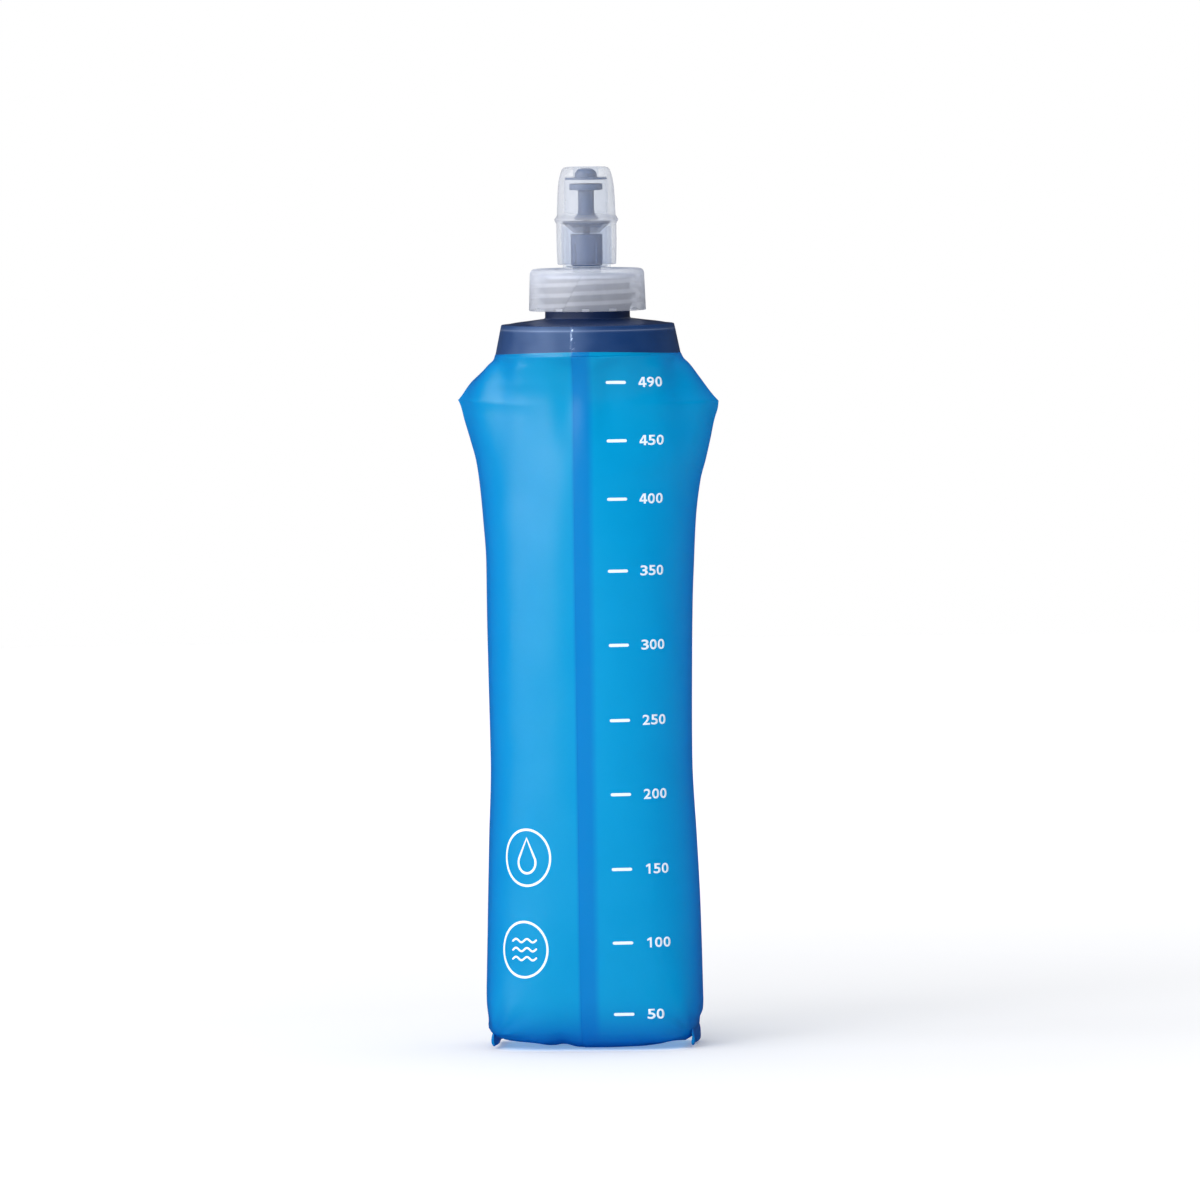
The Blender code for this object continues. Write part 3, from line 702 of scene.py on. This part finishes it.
def build_fin(name, side, material):
    """The trimmed corner weld at one side of the base, a doubled film that curls at its edge."""
    bm = bmesh.new()
    rings = []
    for t in np.linspace(-1, 1, FIN_STATIONS):
        y = FIN_HALF_LENGTH * math.sin(t * math.pi / 2)
        end = math.sqrt(max(1 - t**8, 0.02))
        root_z = 0.0038 + 0.0022 * (1 - abs(t) ** 3)
        curl = 0.0008 + 0.0004 * math.cos(2.3 * t * math.pi + side) * abs(t)
        lean = 0.0003 * math.sin(1.7 * t * math.pi + 0.5 * side)
        top = np.array((0.0288, root_z))
        bend = np.array((0.0294 + lean, 0.0018))
        tip = np.array((0.0294 + lean - curl, 0.0007))
        ring = []
        for k in range(FIN_LOOP_POINTS):
            a = 2 * math.pi * k / FIN_LOOP_POINTS
            u = 0.5 + 0.5 * math.cos(a)
            centre = (1 - u) ** 2 * top + 2 * u * (1 - u) * bend + u * u * tip
            direction = 2 * (1 - u) * (bend - top) + 2 * u * (tip - bend)
            direction = direction / np.linalg.norm(direction)
            normal = np.array((-direction[1], direction[0]))
            half = (0.00042 + 0.00028 * u**3) * math.sin(a) * end
            place = top + (centre - top) * (0.35 + 0.65 * end) + normal * half
            ring.append(bm.verts.new((side * place[0], y, max(place[1], 0.00005))))
        rings.append(ring)
    for low, high in zip(rings, rings[1:]):
        for i in range(FIN_LOOP_POINTS):
            j = (i + 1) % FIN_LOOP_POINTS
            bm.faces.new((low[i], low[j], high[j], high[i]))
    bm.faces.new(rings[0])
    bm.faces.new(list(reversed(rings[-1])))
    obj = finish_mesh(bm, name, [material], 60)
    places = np.array([v.co for v in obj.data.vertices])
    set_places(obj.data, "rest_place", places)
    set_values(obj.data, "weld", np.full(len(places), 0.8))
    set_values(obj.data, "base", np.full(len(places), 0.15))
    return obj


# ---------------------------------------------------------------- prints


class FilmMap:
    """Maps flat artwork onto the film: distance across and height to a point on its outside."""

    STEP = 0.00025

    def __init__(self, grid):
        moved, _, across, heights = grid
        first = len(BASE_RINGS)
        self.heights = heights[first:]
        self.across = np.arange(-0.045, 0.045, self.STEP)
        rows = []
        for row, distances in zip(moved[first:], across[first:]):
            rows.append([np.interp(self.across, distances, row[:, k]) for k in range(3)])
        self.points = np.array(rows).transpose(0, 2, 1)
        up = np.gradient(self.points, axis=0)
        along = np.gradient(self.points, axis=1)
        normals = np.cross(along, up)
        self.normals = normals / np.linalg.norm(normals, axis=2, keepdims=True)

    def place(self, across, height, lift):
        row = np.interp(height, self.heights, np.arange(len(self.heights)))
        column = (across - self.across[0]) / self.STEP
        r = np.clip(row.astype(int), 0, len(self.heights) - 2)
        c = np.clip(column.astype(int), 0, len(self.across) - 2)
        fr, fc = (row - r)[:, None], (column - c)[:, None]
        found = []
        for field in (self.points, self.normals):
            low = field[r, c] * (1 - fc) + field[r, c + 1] * fc
            high = field[r + 1, c] * (1 - fc) + field[r + 1, c + 1] * fc
            found.append(low * (1 - fr) + high * fr)
        return found[0] + found[1] * lift

    def across_at(self, x, height):
        """The distance across of the film's front at one x."""
        row = int(np.interp(height, self.heights, np.arange(len(self.heights))))
        return float(np.interp(x, self.points[row, :, 0], self.across))


class Artwork:
    """Flat shapes in metres, drawn about a middle point and then laid on the film."""

    def __init__(self):
        self.bm = bmesh.new()

    def fill(self, points):
        self.bm.faces.new([self.bm.verts.new((x, y, 0.0)) for x, y in points])

    def line(self, points, width, closed=False):
        """A stroke of constant width with round ends."""
        points = np.array(points, float)
        if closed:
            ahead, back = np.roll(points, -1, axis=0), np.roll(points, 1, axis=0)
            direction = ahead - back
        else:
            direction = np.gradient(points, axis=0)
        direction /= np.linalg.norm(direction, axis=1, keepdims=True)
        side = np.stack((-direction[:, 1], direction[:, 0]), axis=1) * width / 2
        left = [self.bm.verts.new((*place, 0.0)) for place in points + side]
        right = [self.bm.verts.new((*place, 0.0)) for place in points - side]
        count = len(points)
        for i in range(count if closed else count - 1):
            j = (i + 1) % count
            self.bm.faces.new((right[i], right[j], left[j], left[i]))
        if closed:
            return
        for index, sign in ((0, -1), (count - 1, 1)):
            cap = [left[index]] if sign < 0 else [right[index]]
            for t in np.linspace(0, math.pi, 7)[1:-1]:
                offset = math.cos(t) * side[index] * -sign
                offset = offset + math.sin(t) * direction[index] * sign * width / 2
                cap.append(self.bm.verts.new((*(points[index] + offset), 0.0)))
            cap.append(right[index] if sign < 0 else left[index])
            self.bm.faces.new(cap)

    def number(self, text, left, middle, height, pitch):
        """Bold digits of equal width, fitted to a height and to a pitch a digit."""
        for index, digit in enumerate(text):
            start = left + index * pitch
            if digit == "1":
                self.fill_one(start + pitch * 0.12, middle, height)
                continue
            if digit == "4":
                self.fill_four(start, middle, pitch * 0.92, height)
                continue
            curve = bpy.data.curves.new("digit", "FONT")
            curve.body = digit
            curve.offset = 0.018
            curve.resolution_u = 6
            holder = link(bpy.data.objects.new("digit", curve))
            bpy.context.view_layer.update()
            graph = bpy.context.evaluated_depsgraph_get()
            mesh = bpy.data.meshes.new_from_object(holder.evaluated_get(graph), depsgraph=graph)
            places = np.array([v.co for v in mesh.vertices])
            low, high = places.min(0), places.max(0)
            width = pitch * 0.86
            mesh.transform(Matrix.Translation((-low[0], -(low[1] + high[1]) / 2, 0)))
            fit = Matrix.Diagonal((width / (high[0] - low[0]), height / (high[1] - low[1]), 1, 1))
            mesh.transform(Matrix.Translation((start, middle, 0)) @ fit)
            self.bm.from_mesh(mesh)
            bpy.data.objects.remove(holder)
            bpy.data.meshes.remove(mesh)

    def fill_one(self, left, middle, height):
        """A plain bold figure one: an upright with a flag and no foot."""
        low, high = middle - height / 2, middle + height / 2
        stem_left, stem_right = left + height * 0.26, left + height * 0.45
        self.fill([(stem_left, low), (stem_right, low), (stem_right, high), (stem_left, high)])
        flag_top, flag_low = high - height * 0.02, high - height * 0.36
        corners = ((left, flag_low + height * 0.02), (stem_left, flag_low + height * 0.12))
        self.fill([*corners, (stem_left, flag_top), (left, flag_low + height * 0.20)])

    def fill_four(self, left, middle, width, height):
        """A bold figure four: an upright, a bar across it and a slope that closes it."""
        shapes = (
            ((0.54, 0.0), (0.80, 0.0), (0.80, 1.0), (0.54, 1.0)),
            ((0.80, 0.21), (1.0, 0.21), (1.0, 0.39), (0.80, 0.39)),
            ((0.0, 0.21), (0.54, 0.21), (0.54, 0.39), (0.0, 0.39)),
            ((0.0, 0.39), (0.24, 0.39), (0.54, 0.78), (0.54, 1.0), (0.46, 1.0)),
        )
        for shape in shapes:
            self.fill([(left + x * width, middle + (y - 0.5) * height) for x, y in shape])

    def lay(self, name, film_map, across, height, material, squeeze=1.0):
        """Cuts the shapes small enough to bend, and lays them on the film."""
        bm = self.bm
        bmesh.ops.scale(bm, vec=(squeeze, 1.0, 1.0), verts=bm.verts)
        bmesh.ops.remove_doubles(bm, verts=bm.verts, dist=0.000002)
        places = np.array([v.co for v in bm.verts])
        for axis, step in ((0, 0.0007), (1, 0.0016)):
            low, high = places[:, axis].min(), places[:, axis].max()
            for cut in np.arange(low + step, high, step):
                point, direction = [0.0, 0.0, 0.0], [0.0, 0.0, 0.0]
                point[axis], direction[axis] = cut, 1.0
                geometry = bm.verts[:] + bm.edges[:] + bm.faces[:]
                bmesh.ops.bisect_plane(
                    bm, geom=geometry, dist=0.000002, plane_co=point, plane_no=direction
                )
        flat = np.array([v.co for v in bm.verts])
        laid = film_map.place(flat[:, 0] + across, flat[:, 1] + height, PRINT_LIFT)
        for vert, place in zip(bm.verts, laid):
            vert.co = place
        bm.normal_update()
        for face in bm.faces:
            if face.normal.y > 0:
                face.normal_flip()
        mesh = bpy.data.meshes.new(name)
        bm.to_mesh(mesh)
        bm.free()
        mesh.materials.append(material)
        set_places(mesh, "rest_place", laid)
        obj = link(bpy.data.objects.new(name, mesh))
        ink = obj.modifiers.new("ink", "SOLIDIFY")
        ink.thickness = PRINT_THICKNESS
        ink.offset = 1.0
        return apply_modifiers(obj)


def arc(radius, start_degrees, end_degrees, count, x=0.0, y=0.0):
    angles = np.radians(np.linspace(start_degrees, end_degrees, count))
    return [(x + radius * math.cos(a), y + radius * math.sin(a)) for a in angles]


def build_scale(film_map, material):
    pieces = []
    for text, height in SCALE_MARKS:
        art = Artwork()
        inset = TICK_WIDTH / 2
        ends = np.linspace(TICK_START + inset, TICK_END - inset, 9)
        art.line([(x, 0.0) for x in ends], TICK_WIDTH)
        art.number(text, NUMBER_START, 0.0, NUMBER_HEIGHT, DIGIT_PITCH)
        pieces.append(art.lay(f"scale_mark_{text}", film_map, 0.0, height, material))
    return pieces


def build_emblem(name, film_map, material, spot, strokes, width, closed):
    """A plain ring round a motif of strokes."""
    x, height, radius = spot
    art = Artwork()
    art.line(arc(radius, 0, 360, 97)[:-1], EMBLEM_LINE, closed=True)
    for points in strokes:
        art.line(points, width, closed)
    middle = film_map.across_at(x, height)
    return art.lay(name, film_map, middle, height, material, EMBLEM_SQUEEZE)


def drop_strokes():
    return [arc(0.0031, 150, 390, 31, 0.0, -0.0014) + [(0.0, 0.0056)]]


def wave_strokes():
    places = np.linspace(-0.0042, 0.0042, 25)
    levels = (0.0026, 0.0, -0.0026)
    return [[(p, level + 0.0005 * math.sin(p * 1570)) for p in places] for level in levels]


# ---------------------------------------------------------------- neck, cap and valve


def build_collar(material):
    corners = [
        (12.3, 222.5, 0.3), (12.3, 211.1, 0.5), (16.7, 210.5, 1.2), (21.0, 210.0, 1.2),
        (23.7, 209.5, 0.5), (24.1, 208.9, 0.3), (26.0, 201.2, 0.3), (24.5, 201.2, 0.3),
        (22.6, 207.9, 0.6), (16.7, 208.6, 0.6), (10.85, 209.2, 0.4), (10.85, 222.5, 0.3),
    ]
    profile = refined(rounded(corners), 0.2113, 0.2224, 0.00018)

    def shift(angles, radii, heights):
        outer = (radii > 0.0120) & (heights > 0.2113)
        return 0.0015 * ridge(angles, heights, 0.0, 2.0) * outer

    return turned("neck_moulding", profile, 216, [material], shift)


def at_lug(angles, heights, low):
    """Whether a place is on one of the lugs round the cap's lower edge."""
    turn = (angles + LUG_PHASE) % (2 * math.pi / LUG_COUNT) - math.pi / LUG_COUNT
    return (np.abs(turn) * CAP_EDGE_RADIUS < LUG_HALF_WIDTH) & (heights < low + LUG_HEIGHT)


def build_cap(material):
    low = round(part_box("screw_cap")[0].z, 6)
    edge = low / MM
    corners = [
        (7.0, 237.6, 0.2), (7.0, 225.5, 0.4), (16.5, 225.5, 1.6), (16.95, edge, 0.3),
        (14.4, edge, 0.3), (14.2, edge + 0.8, 0.2), (14.2, 223.9, 0.4), (4.0, 223.9, 0.2),
        (4.0, 226.0, 0.2), (6.0, 226.0, 0.3), (6.0, 237.6, 0.2),
    ]
    profile = refined(rounded(corners), low, 0.2245, 0.00016)
    profile = refined(profile, 0.2250, 0.2377, 0.0008)

    def shift(angles, radii, heights):
        bore = (radii < 0.0147) & (radii > 0.0141) & (heights < 0.2236)
        thread = ridge(angles, heights, math.pi, CAP_VISIBLE_TURNS) * bore
        lug = at_lug(angles, heights, low) & (radii > 0.0160)
        return -0.00125 * thread - 0.00022 * lug

    def veil(angles, radii, heights):
        thread = ridge(angles, heights, math.pi, CAP_VISIBLE_TURNS)
        lug = at_lug(angles, heights, low)
        slant = np.radians(270.5 - 21 * (0.2245 - heights) / 0.0110)
        vent = bell((angles - slant) * 0.0142, 0.0, 0.00025)
        # The outer face is painted milkier in streaks over the threads inside. This stands in for
        # the threads seen through the wall and for painted highlights on them. The lugs are made
        # milkier, partly as a painted highlight.
        shifted = heights + 0.0004 * (angles < slant) * (angles > math.pi)
        seen = ridge(angles, shifted, math.pi, CAP_VISIBLE_TURNS)
        foot = (1 - smooth_step(0.2140, 0.2225, heights)) * np.sin(angles) ** 2
        outer = 0.55 - 0.13 * foot + 0.20 * seen - 0.08 * vent + 0.3 * lug
        skirt = np.where(radii > 0.0155, outer, 0.12 + 0.12 * thread)
        tube = np.where(radii > 0.0065, 0.06, 0.03) + 0.0 * angles
        on_tube = (heights > 0.2240) & (radii < 0.0075) & ((heights > 0.2262) | (radii > 0.0065))
        return np.where(on_tube, tube, np.where(heights > 0.2238, 0.52, skirt))

    return turned("cap_moulding", profile, 360, [material], shift, veil=veil)


def build_gasket(material):
    corners = [
        (13.9, 223.6, 0.2), (13.9, 222.8, 0.2), (10.9, 222.8, 0.2), (10.9, 223.6, 0.2),
    ]
    return turned("gasket_ring", rounded(corners), 128, [material])


def build_barrel(material):
    corners = [
        (4.6, 235.5, 0.3), (4.6, 226.3, 0.9), (3.4, 226.3, 0.2), (3.4, 233.6, 0.3),
        (1.3, 233.6, 0.1), (1.3, 235.5, 0.1),
    ]
    profile = refined(rounded(corners), 0.2263, 0.2354, 0.0005)

    def shift(angles, radii, heights):
        outer = radii > 0.0040
        turn = (angles - math.pi / 4) % (math.pi / 2)
        turn = np.minimum(turn, math.pi / 2 - turn)
        fin = 1 - smooth_step(0.00035, 0.00055, turn * 0.0050)
        span = smooth_step(0.2268, 0.2274, heights) * (1 - smooth_step(0.2326, 0.2332, heights))
        return 0.0004 * fin * span * outer

    return turned("valve_barrel", profile, 240, [material], shift)


def build_pin(material):
    corners = [
        (0, 250.1, 0), (4.8, 250.1, 0.4), (4.8, 248.2, 0.4), (2.3, 248.2, 0.5), (2.3, 242.2, 1.0),
        (2.6, 241.2, 0.6), (3.5, 240.2, 0.2), (3.5, 239.6, 0.2), (1.0, 239.6, 0.2),
        (1.0, 233.3, 0.1), (1.9, 233.3, 0.1), (1.0, 232.5, 0.1), (0, 232.5, 0),
    ]
    return turned("valve_stem", rounded(corners), 96, [material], on_axis=True)


def build_lip(material):
    corners = [
        (6.9, 239.2, 0.1), (6.9, 238.7, 0.1), (3.9, 236.1, 0.4), (3.9, 235.8, 0.1),
        (3.0, 235.8, 0.1), (3.0, 236.5, 0.3), (6.2, 239.2, 0.1),
    ]
    profile = refined(rounded(corners), 0.2359, 0.2391, 0.0004)

    def veil(angles, radii, heights):
        return 0.30 + 0.65 * smooth_step(0.2383, 0.2388, heights) + 0.0 * angles

    return turned("valve_lip", profile, 96, [material], veil=veil)


def build_mouthpiece(material):
    corners = [
        (5.6, 255.0, 0.3), (6.7, 254.6, 0.5), (7.3, 253.4, 1.0), (8.0, 250.5, 2.0),
        (8.3, 246.5, 2.0), (8.5, 240.9, 0.2), (9.3, 239.7, 0.2), (8.7, 238.5, 0.2),
        (8.7, 232.0, 2.0), (8.5, 226.7, 0.3), (7.5, 226.7, 0.3), (7.3, 227.2, 0.3),
        (7.3, 240.6, 0.2), (6.35, 241.2, 0.4), (6.35, 252.1, 0.6), (3.7, 252.1, 0.2),
        (3.7, 255.0, 0.3),
    ]
    profile = refined(rounded(corners), 0.2268, 0.2549, 0.0006)

    def veil(angles, radii, heights):
        # the bead is milkier, for its thicker plastic and for a painted highlight along it
        bead = bell(heights, 0.2400, 0.0009)
        upper = smooth_step(0.2400, 0.2412, heights)
        outer = radii > 0.0074 - 0.0016 * smooth_step(0.2500, 0.2550, heights)
        return np.where(outer, 0.21 + 0.04 * upper + 0.3 * bead, 0.05) + 0.0 * angles

    return turned("mouthpiece_sleeve", profile, 192, [material], veil=veil)


def build_seal(material):
    corners = [
        (1.0, 254.5, 0.2), (2.3, 254.2, 0.5), (3.1, 253.3, 0.5), (3.3, 251.8, 0.3),
        (6.05, 251.8, 0.2), (6.05, 251.25, 0.2), (2.2, 251.25, 0.3), (1.0, 252.45, 0.3),
    ]
    return turned("spout_dome", rounded(corners), 96, [material])


# ---------------------------------------------------------------- stage, light and camera


def build_stage():
    bm = bmesh.new()
    bmesh.ops.create_circle(bm, cap_ends=True, segments=96, radius=FLOOR_RADIUS)
    g = Graph("stage_floor")
    place = g.place()
    cloud = g.noise(place, 3.0, 2.0, 0.5)
    away = g.add("ShaderNodeVectorMath", {"operation": "LENGTH"}, n0=place).outputs["Value"]
    split = g.add("ShaderNodeSeparateXYZ", Vector=place).outputs
    width = g.math("ABSOLUTE", g.math("DIVIDE", split[0], BENEATH_HALF_WIDTH), 0.0)
    depth = g.math("ABSOLUTE", g.math("DIVIDE", split[1], BENEATH_HALF_DEPTH), 0.0)
    width, depth = g.math("POWER", width, 6.0), g.math("POWER", depth, 4.0)
    # a painted light-blue glow on the floor under the film, standing in for light that passes
    # through the film
    painted_glow_patch = g.spread(g.math("ADD", width, depth), 0.5, 1.3, 1.0, 0.0)
    glow = g.spread(away, 0.15, 0.9, FLOOR_GLOW[0], FLOOR_GLOW[1])
    colour = g.blend_colours(cloud, (0.85, 0.85, 0.86, 1), (0.87, 0.87, 0.88, 1))
    shine = g.blend_colours(painted_glow_patch, (1.0, 1.0, 1.0, 1), (0.40, 0.66, 0.86, 1))
    strength = g.math("ADD", glow, g.math("MULTIPLY", painted_glow_patch, PAINTED_GLOW_BENEATH))
    body = g.plastic(colour, 0.75, Emission_Color=shine, Emission_Strength=strength)
    dark = g.add("ShaderNodeBsdfDiffuse", Color=(0.04, 0.04, 0.04, 1)).outputs[0]
    reflected = g.add("ShaderNodeLightPath").outputs["Is Glossy Ray"]
    floor = finish_mesh(bm, "stage_floor", [g.output(g.mix(reflected, body, dark))])


def build_world():
    """White where the camera looks, bright above and behind, and dark behind the camera."""
    world = bpy.data.worlds.new("studio")
    bpy.context.scene.world = world
    world.use_nodes = True
    tree = world.node_tree
    tree.nodes.clear()
    new, join = tree.nodes.new, tree.links.new
    split = new("ShaderNodeSeparateXYZ")
    join(new("ShaderNodeTexCoord").outputs["Generated"], split.inputs[0])

    def ramp(socket, low, high, to_low, to_high):
        node = new("ShaderNodeMapRange")
        node.interpolation_type = "SMOOTHSTEP"
        for index, value in enumerate((low, high, to_low, to_high)):
            node.inputs[index + 1].default_value = value
        join(socket, node.inputs[0])
        return node.outputs[0]

    strength = new("ShaderNodeMix")
    join(ramp(split.outputs["Z"], 0.25, 0.85, 0.0, 1.0), strength.inputs[0])
    join(ramp(split.outputs["Y"], -0.3, 0.7, WORLD_FRONT, WORLD_BACK), strength.inputs[2])
    strength.inputs[3].default_value = WORLD_TOP
    path = new("ShaderNodeLightPath")
    dimmed = new("ShaderNodeMath")
    dimmed.operation = "MULTIPLY"
    join(strength.outputs[0], dimmed.inputs[0])
    join(ramp(path.outputs["Is Glossy Ray"], 0.0, 1.0, 1.0, WORLD_REFLECTED), dimmed.inputs[1])
    around = new("ShaderNodeBackground")
    around.inputs["Color"].default_value = (0.97, 0.98, 1.0, 1)
    join(dimmed.outputs[0], around.inputs["Strength"])
    seen = new("ShaderNodeBackground")
    seen.inputs["Color"].default_value = (1, 1, 1, 1)
    mix = new("ShaderNodeMixShader")
    join(path.outputs["Is Camera Ray"], mix.inputs[0])
    join(around.outputs[0], mix.inputs[1])
    join(seen.outputs[0], mix.inputs[2])
    join(mix.outputs[0], new("ShaderNodeOutputWorld").inputs["Surface"])


def direction(azimuth, elevation):
    """From the bottle outwards. Azimuth is degrees from the bottle's front towards its right."""
    a, e = math.radians(azimuth), math.radians(elevation)
    return Vector((math.sin(a) * math.cos(e), -math.cos(a) * math.cos(e), math.sin(e)))


def softbox(name, azimuth, elevation, distance, height, size, power, colour):
    """An area light, aimed at the neck's axis at one height. size is its width and height."""
    light = bpy.data.lights.new(name, "AREA")
    light.shape = "RECTANGLE"
    light.size, light.size_y = size
    light.energy = power
    light.color = colour
    obj = link(bpy.data.objects.new(name, light))
    back = direction(azimuth, elevation)
    obj.location = Vector((0, 0, height)) + back * distance
    obj.rotation_mode = "QUATERNION"
    obj.rotation_quaternion = (-back).to_track_quat("-Z", "Y")
    obj.visible_camera = False
    return obj


def build_lights():
    """A big soft key and a weak fill, which no reflection shows, and a left softbox which only
    reflections show."""
    front, left = CAMERA_AZIMUTH + KEY_TURN, CAMERA_AZIMUTH + SOFTBOX_TURN
    key = softbox("key", front, 20, 2.6, 0.12, (2.0, 1.5), KEY_POWER, (1.0, 0.99, 0.97))
    fill = softbox("fill", left, 0, 0.75, 0.54, (0.95, 0.8), FILL_POWER, (1.0, 1.0, 1.0))
    key.visible_glossy = fill.visible_glossy = False
    sheen = softbox("sheen", left, 0, 0.75, 0.54, (0.84, 0.8), SHEEN_POWER, (1.0, 1.0, 1.0))
    sheen.visible_diffuse = sheen.visible_transmission = False


def build_camera():
    data = bpy.data.cameras.new("camera")
    data.sensor_width = 36.0
    data.lens = data.sensor_width * CAMERA_DISTANCE / VIEW_WIDTH
    data.clip_start, data.clip_end = 0.1, 200.0
    obj = link(bpy.data.objects.new("camera", data))
    back = direction(CAMERA_AZIMUTH, CAMERA_ELEVATION)
    obj.location = Vector(CAMERA_AIM) + back * CAMERA_DISTANCE
    look = (-back).to_track_quat("-Z", "Y")
    roll = Matrix.Rotation(math.radians(-CAMERA_ROLL), 4, "Z").to_quaternion()
    obj.rotation_mode = "QUATERNION"
    obj.rotation_quaternion = look @ roll
    bpy.context.scene.camera = obj


# ---------------------------------------------------------------- putting it together


def on_bottle(obj):
    """Rides on the bottle."""
    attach(obj, "bottle")
    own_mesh(obj)
    return obj


def riding(obj, body, slot, *nodes):
    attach(obj, body)
    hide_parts(*nodes)
    return obj


outside, inside = film_outside(), film_inside()
grid = film_grid()
film_map = FilmMap(grid)
film_body = on_bottle(build_film(grid, outside, inside))
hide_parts("body_film")
for fin_name, fin_side in (("fin_left", -1), ("fin_right", 1)):
    on_bottle(build_fin(fin_name, fin_side, outside))
ink = print_ink()
for piece in build_scale(film_map, ink):
    on_bottle(piece)
for name, spot, strokes, width, closed in (
    ("emblem_drop", DROP_EMBLEM, drop_strokes(), EMBLEM_LINE, True),
    ("emblem_waves", WAVES_EMBLEM, wave_strokes(), EMBLEM_LINE * 0.8, False),
):
    on_bottle(build_emblem(name, film_map, ink, spot, strokes, width, closed))

band = build_band(band_film())
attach(band, "neck")
navy = moulded("neck_navy", (0.002, 0.014, 0.070, 1), (0.005, 0.028, 0.110, 1), 0.32)
riding(build_collar(navy), "neck", "neck", "neck_collar")
cap_plastic = frosted("cap_frosted", (0.78, 0.81, 0.89, 1), (0.85, 0.88, 0.96, 1), 1.1, 0.26)
riding(build_cap(cap_plastic), "cap", "cap", "screw_cap")
sleeve_plastic = frosted("sleeve_frosted", (0.69, 0.70, 0.75, 1), (0.77, 0.78, 0.83, 1), 1.6, 0.22)
riding(build_mouthpiece(sleeve_plastic), "spout", "mouthpiece", "mouthpiece")
gasket = moulded("gasket_white", (0.62, 0.64, 0.70, 1), (0.72, 0.74, 0.78, 1), 0.55)
riding(build_gasket(gasket), "cap_lift", "gasket", "cap_gasket")
slate = moulded("valve_slate", (0.018, 0.075, 0.200, 1), (0.034, 0.102, 0.245, 1), 0.42)
riding(build_barrel(slate), "cap", "valve", "valve_base")
riding(build_pin(slate), "cap", "valve", "valve_pin")
lip_plastic = frosted("lip_slate", (0.07, 0.13, 0.25, 1), (0.10, 0.17, 0.30, 1), 0.5, 0.35)
riding(build_lip(lip_plastic), "cap", "seal", "lip_seal")
riding(build_seal(slate), "spout", "seal", "spout_seal")

build_stage()
build_world()
build_lights()
build_camera()
bpy.context.scene.view_settings.view_transform = "Standard"
bpy.context.scene.cycles.transparent_max_bounces = 32
